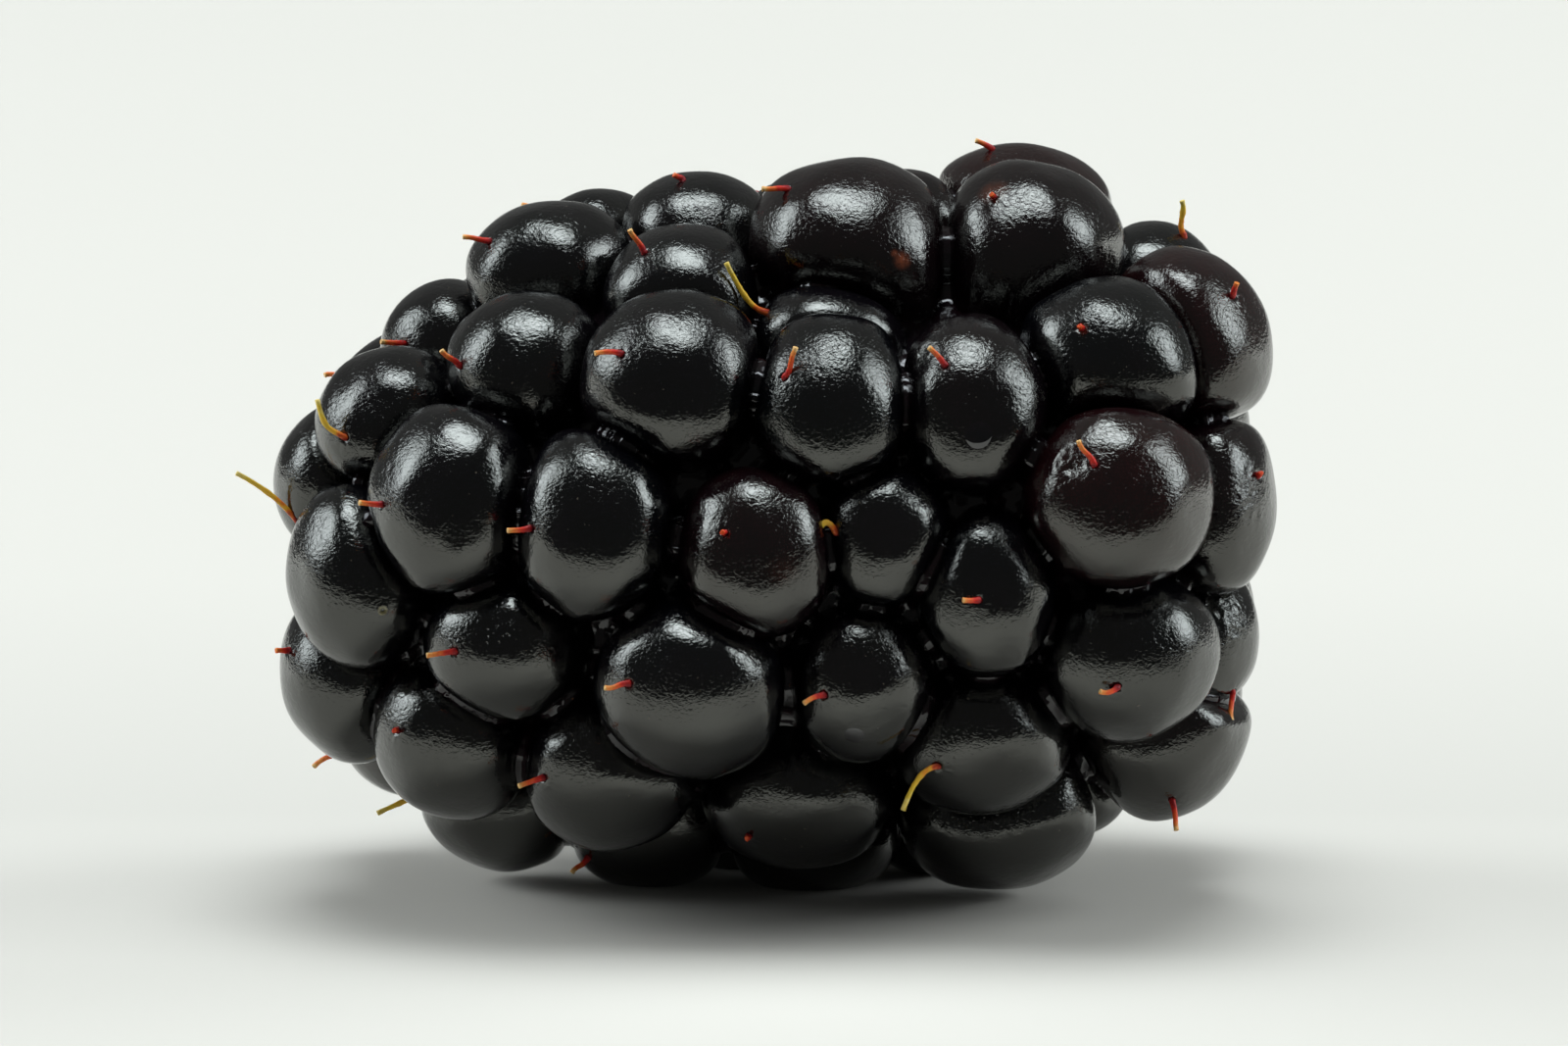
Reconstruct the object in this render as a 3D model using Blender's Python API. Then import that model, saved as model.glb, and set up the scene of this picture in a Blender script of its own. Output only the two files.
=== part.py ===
"""A ripe bramble berry as picked, lying on its side.

Metres, +Z up. The berry's tip points along -X and its stem end along +X. The origin is on the surface
that the berry lies on, under the middle of its box.

The fruit is a crowd of drupelets grown on a receptacle. Each one is a ball that its neighbours press flat
where they meet, and most end in a dried style. The drupelets on the near side, -Y, stand where the front
view shows them, and a seeded rule spreads the others evenly over the rest of the berry.
"""

import math

import bmesh
import bpy
import numpy as np

MM = 0.001

# The body that the drupelets stand on
BODY_HALF = 11.9 * MM          # from the middle to the last drupelets' middles, along the berry
BODY_RADIUS = 7.4 * MM         # from the berry's own axis to the drupelets' middles, at its thickest
TIP_BLUNTNESS = 2.0            # 2 is an ellipse, and more is squarer
STEM_BLUNTNESS = 2.9
MIDDLE = np.array((0.5, 0.15, 9.05)) * MM  # of the axis, so that the origin is under the box's middle
AXIS_RISE = math.radians(3.2)  # the berry tapers to its tip, so it lies with the stem end higher

# The front view looks along +Y and down by this much
LOOK_DOWN = math.radians(10)
RIGHT = np.array((1.0, 0.0, 0.0))
UP = np.array((0.0, math.sin(LOOK_DOWN), math.cos(LOOK_DOWN)))
TOWARD = np.array((0.0, -math.cos(LOOK_DOWN), math.sin(LOOK_DOWN)))

# Drupelets in sight, in mm in the front view: where the middle is across and up from the berry's middle,
# how wide and tall it looks, and how far it stands out of the row (under 0, how far it is sunk in)
NEAR_DRUPELETS = {
    "crest_a": (-5.6, 6.5, 3.9, 3.3, 0.4),
    "crest_b": (-2.3, 5.7, 3.6, 3.5, -0.3),
    "crest_c": (1.9, 7.2, 4.9, 3.9, 0.1),
    "crest_d": (6.4, 7.2, 4.1, 3.9, 0.2),
    "crest_e": (10.4, 4.7, 3.8, 4.2, 0.6),
    "brow_a": (-8.4, 4.7, 2.8, 2.9, -0.5),
    "brow_b": (-6.2, 4.0, 3.7, 3.4, 0.1),
    "brow_c": (-2.5, 3.6, 4.3, 4.1, 0.4),
    "brow_d": (1.2, 4.4, 3.6, 3.2, -1.0),
    "brow_e": (1.4, 3.0, 3.7, 4.0, 0.3),
    "brow_f": (4.9, 2.9, 3.7, 4.1, 0.0),
    "brow_g": (8.5, 4.1, 4.2, 3.8, 0.3),
    "waist_a": (-9.8, 2.6, 3.4, 3.3, 0.5),
    "waist_b": (-11.2, 1.2, 2.9, 3.2, 0.0),
    "waist_c": (-8.1, 0.6, 3.7, 4.3, 0.9),
    "waist_d": (-4.5, 0.0, 3.8, 4.5, 0.2),
    "waist_e": (-0.5, -0.7, 3.6, 3.9, 0.1),
    "waist_f": (2.7, -0.3, 3.2, 3.5, -0.8),
    "waist_g": (8.6, 0.7, 4.2, 4.2, 0.8),
    "waist_h": (11.0, 0.6, 3.0, 4.5, 0.0),
    "belly_a": (-10.5, -1.2, 3.4, 4.4, 0.8),
    "belly_b": (-6.7, -3.0, 3.9, 3.6, -0.1),
    "belly_c": (-2.1, -4.0, 4.4, 4.3, 0.4),
    "belly_d": (2.1, -3.9, 3.3, 3.7, 0.0),
    "belly_e": (5.3, -1.7, 3.2, 4.1, -0.2),
    "belly_f": (8.8, -3.3, 4.1, 3.8, 0.6),
    "belly_g": (10.8, -3.0, 2.6, 3.4, -0.3),
    "foot_a": (-10.8, -3.9, 3.3, 3.8, 0.6),
    "foot_b": (-8.1, -5.4, 3.6, 3.8, 0.7),
    "foot_c": (-4.2, -6.1, 4.0, 3.9, 0.4),
    "foot_d": (0.5, -6.9, 4.7, 3.9, 0.2),
    "foot_e": (5.1, -5.3, 4.2, 3.7, 0.2),
    "foot_f": (9.7, -5.0, 4.2, 4.7, 0.2),
    "sole_c": (5.6, -7.3, 4.8, 4.1, 0.5),
}
# The same for those that show over the crest or under the belly, past the middle of the berry
BEYOND_DRUPELETS = {
    "rear_a": (-2.0, 7.2, 3.7, 3.4, 0.0),
    "rear_b": (3.4, 7.2, 3.4, 3.5, -0.3),
    "rear_c": (6.2, 8.0, 4.2, 3.3, 0.8),
    "rear_d": (9.7, 6.0, 3.2, 3.2, -0.1),
    "sole_a": (-6.9, -7.2, 3.6, 3.1, 0.8),
    "sole_b": (-3.2, -7.6, 4.2, 3.2, 0.3),
    "sole_d": (0.9, -7.8, 4.3, 3.1, 0.4),
    "sole_e": (7.4, -6.5, 2.9, 2.9, 0.2),
}

# The dried styles of those drupelets, in mm in the front view: where the root is across and up from the
# drupelet's middle, how far across and up the tip lies from the root, and how far the style bows upwards
STYLES = {
    "crest_a": (-1.7, 0.7, -0.65, 0.1, 0.0),
    "crest_b": (-1.05, 1.2, -0.35, 0.55, 0.0),
    "crest_c": (-1.6, 1.5, -0.65, 0.0, 0.0),
    "crest_d": (-0.9, 1.3, -0.05, 0.05, 0.0),
    "crest_e": (1.15, 1.2, 0.1, 0.3, 0.0),
    "brow_a": (-1.1, -0.1, -0.55, 0.05, 0.0),
    "brow_b": (-1.8, 0.0, -0.45, 0.4, 0.0),
    "brow_c": (-1.4, 0.7, -0.65, 0.0, 0.05),
    "brow_d": (-1.5, 1.0, -1.0, 1.25, -0.25),
    "brow_e": (-1.2, 0.7, 0.3, 0.75, -0.05),
    "brow_f": (-0.65, 1.1, -0.4, 0.45, 0.0),
    "brow_g": (-0.8, 0.85, -0.05, 0.05, 0.0),
    "waist_a": (-1.1, -0.4, -0.7, 0.95, -0.25),
    "waist_b": (-0.9, -1.2, -1.6, 1.3, 0.15),
    "waist_c": (-1.85, -0.1, -0.55, 0.05, 0.0),
    "waist_d": (-1.7, -0.1, -0.55, -0.05, 0.0),
    "waist_e": (-0.8, 0.5, -0.05, 0.0, 0.0),
    "waist_f": (-1.1, 0.05, -0.5, -0.1, 0.3),
    "waist_g": (-0.6, 0.8, -0.4, 0.6, 0.0),
    "waist_h": (1.2, 0.65, 0.05, 0.05, 0.0),
    "belly_b": (-1.4, -0.2, -0.7, -0.1, 0.0),
    "belly_c": (-1.6, 0.0, -0.6, -0.1, 0.0),
    "belly_d": (-0.9, -0.4, -0.5, -0.2, 0.05),
    "belly_e": (-0.2, -0.2, -0.4, 0.0, 0.0),
    "belly_f": (-0.2, -0.8, -0.45, -0.1, -0.05),
    "belly_g": (0.9, -1.4, -0.05, -0.7, 0.0),
    "foot_a": (-1.6, 0.7, -0.3, 0.0, 0.0),
    "foot_b": (-1.5, 0.2, -0.05, 0.0, 0.0),
    "foot_c": (-1.7, -0.3, -0.6, -0.2, 0.0),
    "foot_d": (-1.3, -1.1, -0.05, -0.05, 0.0),
    "foot_e": (-1.0, -0.8, -0.9, -1.1, 0.3),
    "foot_f": (0.35, -2.0, 0.1, -0.75, 0.0),
    "sole_a": (-1.9, 0.05, -1.35, -0.2, 0.2),
    "sole_b": (-1.6, -0.9, -0.4, -0.35, 0.0),
    "rear_a": (-0.4, 1.6, -0.2, 0.1, 0.0),
    "rear_c": (-0.7, 1.6, -0.4, 0.2, 0.0),
    "rear_d": (0.7, 1.35, -0.05, 0.9, 0.0),
}
STYLE_TOWARD = 0.22 * MM       # how far a tip stands nearer the viewer than its root
STYLE_RADIUS = 0.1 * MM
STYLE_TIP_RADIUS = 0.075 * MM
STYLE_ROOT = 0.35 * MM         # of each style is buried in its drupelet
STYLE_SIDES = 3
STYLE_STEPS = 2
# Those on the far side lean to the berry's tip, in parts for each part straight out of the drupelet
FAR_STYLE_LENGTHS = (0.4 * MM, 1.2 * MM)
FAR_ROOT_LEAN = 0.6
FAR_STYLE_LEAN = 1.6
FAR_STYLE_SPREAD = 0.3
FAR_STYLE_BOW = 0.2            # at most, for each part of its length
STYLE_SEED = 11

# The far side
FAR_COUNT = 35
FAR_SPACING = 3.75 * MM
FAR_FROM = -9.2 * MM           # their places along the berry, from its middle, short of both ends
FAR_TO = 9.9 * MM
FAR_TURNS = (math.radians(115), math.radians(245))  # round the axis, from the viewer's side, at the start
FAR_SUNK = 0.15 * MM           # under the body's surface
FAR_DIAMETERS = (3.5 * MM, 4.3 * MM)
FAR_STRETCH = (0.92, 1.08)
FAR_SEED = 7
SPREAD_ROUNDS = 160
SPREAD_STEP = 0.35             # of the push that two crowded drupelets give each other, in one round

# How the drupelets press on each other
GIRTH = 1.08                   # a drupelet grows this much wider than the part of it that shows
SUNK = 0.4 * MM                # its middle lies this much deeper, under a flatter dome
CREASE_SHARPNESS = 9.0         # more is a flatter contact with a sharper rim
CONTACT_OVERLAP = 1.05         # neighbours run together at the middle of their contact
RIM = 0.97                     # a style's root stays within this share of the outline that it shows
TINY = 1e-6 * MM
CONTACT_REACH = 6 * MM         # drupelets whose middles are further apart don't touch
END_LEAN = 0.55                # how much the drupelets at the ends face along the berry

# The receptacle's end: how far along the berry's axis each ring is from the middle and its radius, in mm
RECEPTACLE_PROFILE = ((6.0, 2.0), (10.0, 3.2), (10.6, 3.0), (10.8, 2.4), (10.65, 1.5), (10.3, 0.8))
RECEPTACLE_ROOM = 2.3 * MM     # no drupelet's edge comes nearer to its middle
RECEPTACLE_SIDES = 14

# Mesh fineness
DOME_SEGMENTS = 12
DOME_RINGS = 9
DRUPELET_TRIANGLES = 8500      # of the drupelets together, once they are fused
CORE_SHRINK = 0.93             # the flesh inside stays this share of the way out to the drupelets' middles
CORE_HALF = 10.6 * MM
CORE_SIDES = 16
CORE_RINGS = 12

BERRY_COLOUR = (0.012, 0.010, 0.014, 1.0)
BERRY_ROUGHNESS = 0.2
SHARP_FROM = math.radians(40)


def body_radius(station):
    """Distance from the berry's axis to the drupelets' middles, at stations along the axis."""
    blunt = np.where(station < 0, TIP_BLUNTNESS, STEM_BLUNTNESS)
    share = np.clip(np.abs(station) / BODY_HALF, 0, 1)
    return BODY_RADIUS * (1 - share**blunt) ** (1 / blunt)


def axis_up(across):
    """How high the berry's axis lies in the front view, from the berry's middle."""
    return across * math.tan(AXIS_RISE)


def from_front_view(across, up, toward):
    """A place in the front view, as a point in the row frame."""
    return across * RIGHT + up * UP + toward * TOWARD + MIDDLE


def seen_drupelets():
    """The middles and the half sizes of the drupelets that the front view shows."""
    middles = []
    halves = []
    for table, side in ((NEAR_DRUPELETS, 1), (BEYOND_DRUPELETS, -1)):
        for across, up, wide, tall, proud in table.values():
            reach = float(body_radius(across * MM)) + proud * MM
            rise = up * MM - axis_up(across * MM)
            toward = side * math.sqrt(max(reach**2 - rise**2, 0))
            middles.append(from_front_view(across * MM, up * MM, toward))
            deep = (wide + tall) / 2
            halves.append(np.array((wide, tall, deep)) * MM / 2 * GIRTH)
    return np.array(middles), np.array(halves)


def on_body(station, turn, sunk=0.0):
    """Points on the surface that the drupelets' middles lie on, or so far under it. Turn 0 faces the
    viewer, in radians."""
    radius = body_radius(station) - sunk
    toward = radius * np.cos(turn)
    up = radius * np.sin(turn) + axis_up(station)
    flat = np.stack((station, up, toward), axis=-1)
    return flat @ np.array((RIGHT, UP, TOWARD)) + MIDDLE


def station_and_turn(points):
    """The nearest place on that surface for each point."""
    local = (points - MIDDLE) @ np.array((RIGHT, UP, TOWARD)).T
    station = np.clip(local[:, 0], FAR_FROM, FAR_TO)
    turn = np.arctan2(local[:, 1] - axis_up(local[:, 0]), local[:, 2])
    return station, turn


def stem_end():
    """The middle of the stem end, where the receptacle leaves no room for drupelets."""
    return from_front_view(BODY_HALF, axis_up(BODY_HALF), 0.0)


def far_drupelets(seen):
    """Spreads the drupelets that face away, pushed apart until they stand evenly."""
    rng = np.random.default_rng(FAR_SEED)
    station = rng.uniform(FAR_FROM, FAR_TO, FAR_COUNT)
    turn = rng.uniform(*FAR_TURNS, FAR_COUNT)
    points = on_body(station, turn)
    fixed = np.vstack((seen, stem_end()))
    room = np.full(len(fixed) + FAR_COUNT, FAR_SPACING)
    room[len(seen)] = RECEPTACLE_ROOM + FAR_SPACING / 2
    for _ in range(SPREAD_ROUNDS):
        everything = np.vstack((fixed, points))
        apart = points[:, None, :] - everything[None, :, :]
        distance = np.linalg.norm(apart, axis=2) + 1e-9
        push = np.clip(room[None, :] - distance, 0, None)
        push[distance < 1e-8] = 0
        pushed = (apart / distance[:, :, None] * push[:, :, None]).sum(axis=1)
        points = on_body(*station_and_turn(points + SPREAD_STEP * pushed))
    points = on_body(*station_and_turn(points), FAR_SUNK)
    diameters = rng.uniform(*FAR_DIAMETERS, FAR_COUNT)
    stretch = rng.uniform(*FAR_STRETCH, (FAR_COUNT, 3))
    return points, diameters[:, None] / 2 * stretch * GIRTH


class Crowd:
    """All the drupelets, and the shape that each takes among its neighbours."""

    def __init__(self):
        seen, seen_halves = seen_drupelets()
        far, far_halves = far_drupelets(seen)
        self.middles = np.vstack((seen, far))
        self.axes = np.array((RIGHT, UP, TOWARD))
        self.facing = np.array([self.outward(index) for index in range(len(self.middles))])
        self.middles = self.middles - self.facing * SUNK
        self.halves = np.vstack((seen_halves, far_halves)) + SUNK

    def own_reach(self, index, directions):
        """How far a free drupelet would reach in each direction."""
        stretched = (directions @ self.axes.T) / self.halves[index]
        return 1 / np.linalg.norm(stretched, axis=1)

    def contacts(self, index):
        """Directions to the touching neighbours, and how far off each contact lies."""
        found = []
        for other, middle in enumerate(self.middles):
            gap = middle - self.middles[index]
            distance = float(np.linalg.norm(gap))
            if other == index or distance > CONTACT_REACH:
                continue
            direction = gap / distance
            mine = float(self.own_reach(index, direction[None])[0])
            theirs = float(self.own_reach(other, -direction[None])[0])
            if mine + theirs > distance:
                found.append((direction, distance * mine / (mine + theirs) * CONTACT_OVERLAP))
        return found

    def reach(self, index, directions):
        """How far the pressed drupelet reaches in each direction: a soft least of its own shape and of
        the planes where it meets its neighbours."""
        total = self.own_reach(index, directions) ** -CREASE_SHARPNESS
        for direction, offset in self.contacts(index):
            facing = np.clip(directions @ direction, 0, None)
            total = total + (facing / offset) ** CREASE_SHARPNESS
        return total ** (-1 / CREASE_SHARPNESS)

    def skin_point(self, index, across, up):
        """The point of the skin that the front view shows this far across and up from the drupelet."""
        spoke = self.facing[index] * SUNK + across * RIGHT + up * UP
        spoke = spoke - (spoke @ TOWARD) * TOWARD
        while np.linalg.norm(spoke) > RIM * self.reach_along(index, spoke):
            spoke = spoke * RIM
        inside, outside = 0.0, CONTACT_REACH
        while outside - inside > TINY:
            toward = (inside + outside) / 2
            place = spoke + toward * TOWARD
            if np.linalg.norm(place) < self.reach_along(index, place):
                inside = toward
            else:
                outside = toward
        return self.middles[index] + spoke + inside * TOWARD

    def reach_along(self, index, spoke):
        """How far the drupelet reaches along one spoke from its middle."""
        return float(self.reach(index, spoke[None] / np.linalg.norm(spoke))[0])

    def outward(self, index):
        """The direction that a drupelet faces, away from the berry's core."""
        local = self.axes @ (self.middles[index] - MIDDLE)
        across, up, toward = local
        lean = END_LEAN * across * (abs(across) / BODY_HALF) ** 2
        facing = np.array((lean, up - axis_up(across), toward)) @ self.axes
        return facing / np.linalg.norm(facing)


def turn_from_z(direction):
    """A rotation matrix that takes +Z to the direction."""
    side = np.cross((0.0, 1.0, 0.0), direction)
    side = side / np.linalg.norm(side)
    return np.column_stack((side, np.cross(direction, side), direction))


def style_path(crowd, index, rng):
    """The root, the middle and the tip of a drupelet's style, or None where it has lost it."""
    names = [*NEAR_DRUPELETS, *BEYOND_DRUPELETS]
    if index >= len(names):
        return far_style_path(crowd, index, rng)
    if names[index] not in STYLES:
        return None
    root_across, root_up, run_across, run_up, bow = (value * MM for value in STYLES[names[index]])
    root = crowd.skin_point(index, root_across, root_up)
    tip = root + run_across * RIGHT + run_up * UP + STYLE_TOWARD * TOWARD
    return root, (root + tip) / 2 + bow * UP, tip


def far_style_path(crowd, index, rng):
    """The same for a drupelet on the far side."""
    out = crowd.facing[index] - FAR_ROOT_LEAN * RIGHT
    out = out / np.linalg.norm(out)
    root = crowd.middles[index] + out * crowd.reach_along(index, out)
    run = out - FAR_STYLE_LEAN * RIGHT + rng.uniform(-FAR_STYLE_SPREAD, FAR_STYLE_SPREAD, 3)
    length = rng.uniform(*FAR_STYLE_LENGTHS)
    tip = root + run / np.linalg.norm(run) * length
    bow = rng.uniform(-FAR_STYLE_BOW, FAR_STYLE_BOW, 3) * length
    return root, (root + tip) / 2 + bow, tip


def style_mesh(crowd, index, path):
    """A thin dried hair on a curve, with its foot buried in the drupelet."""
    root, middle, tip = path
    inward = crowd.middles[index] - root
    foot = root + inward / np.linalg.norm(inward) * STYLE_ROOT
    control = 2 * middle - (root + tip) / 2
    points = [foot]
    for step in range(STYLE_STEPS + 1):
        t = step / STYLE_STEPS
        points.append((1 - t) ** 2 * root + 2 * t * (1 - t) * control + t * t * tip)
    hair = bmesh.new()
    rings = []
    for number, point in enumerate(points):
        before = points[max(number - 1, 0)]
        after = points[min(number + 1, len(points) - 1)]
        turn = turn_from_z((after - before) / np.linalg.norm(after - before))
        share = number / (len(points) - 1)
        radius = STYLE_RADIUS + (STYLE_TIP_RADIUS - STYLE_RADIUS) * share
        ring = []
        for side in range(STYLE_SIDES):
            angle = 2 * math.pi * side / STYLE_SIDES
            flat = np.array((math.cos(angle), math.sin(angle), 0)) * radius
            ring.append(hair.verts.new(point + turn @ flat))
        rings.append(ring)
    for lower, upper in zip(rings, rings[1:]):
        for side in range(STYLE_SIDES):
            after = (side + 1) % STYLE_SIDES
            hair.faces.new((lower[side], lower[after], upper[after], upper[side]))
    hair.faces.new(rings[0][::-1])
    hair.faces.new(rings[-1])
    bmesh.ops.recalc_face_normals(hair, faces=hair.faces)
    return hair


def drupelet_mesh(crowd, index):
    """One pressed ball, with its pole facing out."""
    ball = bmesh.new()
    bmesh.ops.create_uvsphere(ball, u_segments=DOME_SEGMENTS, v_segments=DOME_RINGS, radius=1.0)
    turn = turn_from_z(crowd.facing[index])
    directions = np.array([vertex.co for vertex in ball.verts]) @ turn.T
    directions /= np.linalg.norm(directions, axis=1)[:, None]
    points = crowd.middles[index] + directions * crowd.reach(index, directions)[:, None]
    for vertex, point in zip(ball.verts, points):
        vertex.co = point
    return ball


def core_mesh():
    """The flesh inside, which every drupelet is rooted in."""
    core = bmesh.new()
    bmesh.ops.create_uvsphere(core, u_segments=CORE_SIDES, v_segments=CORE_RINGS, radius=1.0)
    for vertex in core.verts:
        x, y, z = vertex.co
        station = z * CORE_HALF
        round_axis = math.hypot(x, y)
        widen = 0.0
        if round_axis > TINY:
            widen = float(body_radius(station)) * CORE_SHRINK / round_axis
        vertex.co = from_front_view(station, x * widen + axis_up(station), y * widen)
    bmesh.ops.recalc_face_normals(core, faces=core.faces)
    return core


def receptacle_end_mesh():
    """The end of the receptacle that the calyx broke from, level with the drupelets round it."""
    end = bmesh.new()
    along = math.cos(AXIS_RISE) * RIGHT + math.sin(AXIS_RISE) * UP
    side = np.cross(along, TOWARD)
    start = from_front_view(0.0, 0.0, 0.0)
    rings = []
    for station, radius in RECEPTACLE_PROFILE:
        ring = []
        for number in range(RECEPTACLE_SIDES):
            angle = 2 * math.pi * number / RECEPTACLE_SIDES
            spoke = math.cos(angle) * side + math.sin(angle) * TOWARD
            ring.append(end.verts.new(start + station * MM * along + radius * MM * spoke))
        rings.append(ring)
    for lower, upper in zip(rings, rings[1:]):
        for number in range(RECEPTACLE_SIDES):
            after = (number + 1) % RECEPTACLE_SIDES
            end.faces.new((lower[number], lower[after], upper[after], upper[number]))
    end.faces.new(rings[0])
    end.faces.new(rings[-1])
    bmesh.ops.recalc_face_normals(end, faces=end.faces)
    return end


def add_object(name, shape, collection=None):
    """Turns a bmesh into an object of the scene."""
    mesh = bpy.data.meshes.new(name)
    shape.to_mesh(mesh)
    shape.free()
    made = bpy.data.objects.new(name, mesh)
    (collection or bpy.context.scene.collection).objects.link(made)
    return made


def apply_modifiers(target):
    """Makes the shape that the modifiers give the object's own mesh, and drops them."""
    graph = bpy.context.evaluated_depsgraph_get()
    shaped = bpy.data.meshes.new_from_object(target.evaluated_get(graph))
    target.modifiers.clear()
    target.data = shaped


def flatten_below_surface(target):
    """The berry's weight presses its lowest drupelets flat on the surface that it lies on."""
    shape = bmesh.new()
    shape.from_mesh(target.data)
    everything = [*shape.verts, *shape.edges, *shape.faces]
    cut = bmesh.ops.bisect_plane(
        shape, geom=everything, dist=1e-8, plane_co=(0, 0, 0), plane_no=(0, 0, 1), clear_inner=True
    )
    rims = [piece for piece in cut["geom_cut"] if isinstance(piece, bmesh.types.BMEdge)]
    bmesh.ops.holes_fill(shape, edges=rims, sides=0)
    bmesh.ops.triangulate(shape, faces=[face for face in shape.faces if len(face.verts) > 3])
    bmesh.ops.recalc_face_normals(shape, faces=shape.faces)
    shape.to_mesh(target.data)
    shape.free()


def drop_scraps(target):
    """Keeps the one body that holds together, without any crumb that a union cut off."""
    shape = bmesh.new()
    shape.from_mesh(target.data)
    unseen = set(shape.verts)
    bodies = []
    while unseen:
        body = {unseen.pop()}
        edge = list(body)
        while edge:
            near = {link.other_vert(vertex) for vertex in edge for link in vertex.link_edges}
            edge = list(near - body)
            body |= near
        unseen -= body
        bodies.append(body)
    bodies.sort(key=len)
    for crumb in bodies[:-1]:
        bmesh.ops.delete(shape, geom=list(crumb), context="VERTS")
    shape.to_mesh(target.data)
    shape.free()


def fuse(target, pieces):
    """Joins the pieces to the target in one Boolean union, and removes them."""
    held = bpy.data.collections.new("pieces")
    bpy.context.scene.collection.children.link(held)
    for number, piece in enumerate(pieces):
        bmesh.ops.triangulate(piece, faces=piece.faces)
        add_object(f"piece_{number:03d}", piece, held)
    union = target.modifiers.new("Union", "BOOLEAN")
    union.operation = "UNION"
    union.solver = "EXACT"
    union.operand_type = "COLLECTION"
    union.collection = held
    target.modifiers.new("Triangles", "TRIANGULATE")
    apply_modifiers(target)
    for piece in list(held.objects):
        bpy.data.objects.remove(piece)
    bpy.data.collections.remove(held)


def make_berry(crowd):
    """The receptacle, the drupelets and their styles, fused into one solid."""
    rng = np.random.default_rng(STYLE_SEED)
    core = core_mesh()
    bmesh.ops.triangulate(core, faces=core.faces)
    berry = add_object("berry", core)
    count = len(crowd.middles)
    fuse(berry, [receptacle_end_mesh(), *(drupelet_mesh(crowd, index) for index in range(count))])
    thin = berry.modifiers.new("Thin", "DECIMATE")
    thin.ratio = DRUPELET_TRIANGLES / len(berry.data.polygons)
    thin.use_collapse_triangulate = True
    apply_modifiers(berry)
    paths = [style_path(crowd, index, rng) for index in range(count)]
    fuse(berry, [style_mesh(crowd, index, path) for index, path in enumerate(paths) if path])
    flatten_below_surface(berry)
    drop_scraps(berry)
    return berry


def main():
    for old in list(bpy.data.objects):
        bpy.data.objects.remove(old)
    berry = make_berry(Crowd())
    skin = bpy.data.materials.new("berry_skin")
    skin.use_nodes = True
    shader = skin.node_tree.nodes["Principled BSDF"]
    shader.inputs["Base Color"].default_value = BERRY_COLOUR
    shader.inputs["Roughness"].default_value = BERRY_ROUGHNESS
    shader.inputs["Metallic"].default_value = 0.0
    berry.data.materials.clear()
    berry.data.materials.append(skin)
    berry.data.shade_smooth()
    berry.data.set_sharp_from_angle(angle=SHARP_FROM)


if __name__ == "__main__":
    main()
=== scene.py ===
"""The looks of a ripe bramble berry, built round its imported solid.

Metres, +Z up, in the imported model's frame: the berry lies on z = 0 with its tip along -X, its stem end
along +X and the camera on the -Y side. The drupelets stand within a fraction of a millimetre of their
places in the solid, and press on each other by the same rule. Their meshes are finer, and the skin's
wrinkles, the round styles, the juice and a drupelet that closes the tip are added.
"""

import math

import bmesh
import bpy
import numpy as np
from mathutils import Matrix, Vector


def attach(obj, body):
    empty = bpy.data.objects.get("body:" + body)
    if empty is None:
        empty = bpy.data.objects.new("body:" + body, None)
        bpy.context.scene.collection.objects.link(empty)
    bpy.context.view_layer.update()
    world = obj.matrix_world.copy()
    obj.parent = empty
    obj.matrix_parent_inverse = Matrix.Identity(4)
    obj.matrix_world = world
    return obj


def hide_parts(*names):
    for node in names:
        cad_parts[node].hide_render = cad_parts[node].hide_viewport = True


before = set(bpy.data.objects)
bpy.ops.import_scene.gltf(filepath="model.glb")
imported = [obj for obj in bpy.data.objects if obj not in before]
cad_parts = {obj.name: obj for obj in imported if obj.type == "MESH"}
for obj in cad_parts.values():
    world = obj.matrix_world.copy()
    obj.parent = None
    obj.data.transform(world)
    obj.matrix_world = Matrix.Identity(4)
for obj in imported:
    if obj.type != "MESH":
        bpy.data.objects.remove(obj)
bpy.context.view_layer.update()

MM = 0.001

# The body that the drupelets stand on
BODY_HALF = 11.9 * MM  # from the middle to the last drupelets' middles, along the berry
BODY_RADIUS = 7.4 * MM  # from the berry's own axis to the drupelets' middles, at its thickest
TIP_BLUNTNESS = 2.0  # 2 is an ellipse, and more is squarer
STEM_BLUNTNESS = 2.9
MIDDLE = np.array((0.5, 0.15, 9.05)) * MM
AXIS_RISE = math.radians(3.2)

# The front view looks along +Y and down by this much
LOOK_DOWN = math.radians(10)
RIGHT = np.array((1.0, 0.0, 0.0))
UP = np.array((0.0, math.sin(LOOK_DOWN), math.cos(LOOK_DOWN)))
TOWARD = np.array((0.0, -math.cos(LOOK_DOWN), math.sin(LOOK_DOWN)))
VIEW_AXES = np.array((RIGHT, UP, TOWARD))

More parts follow.
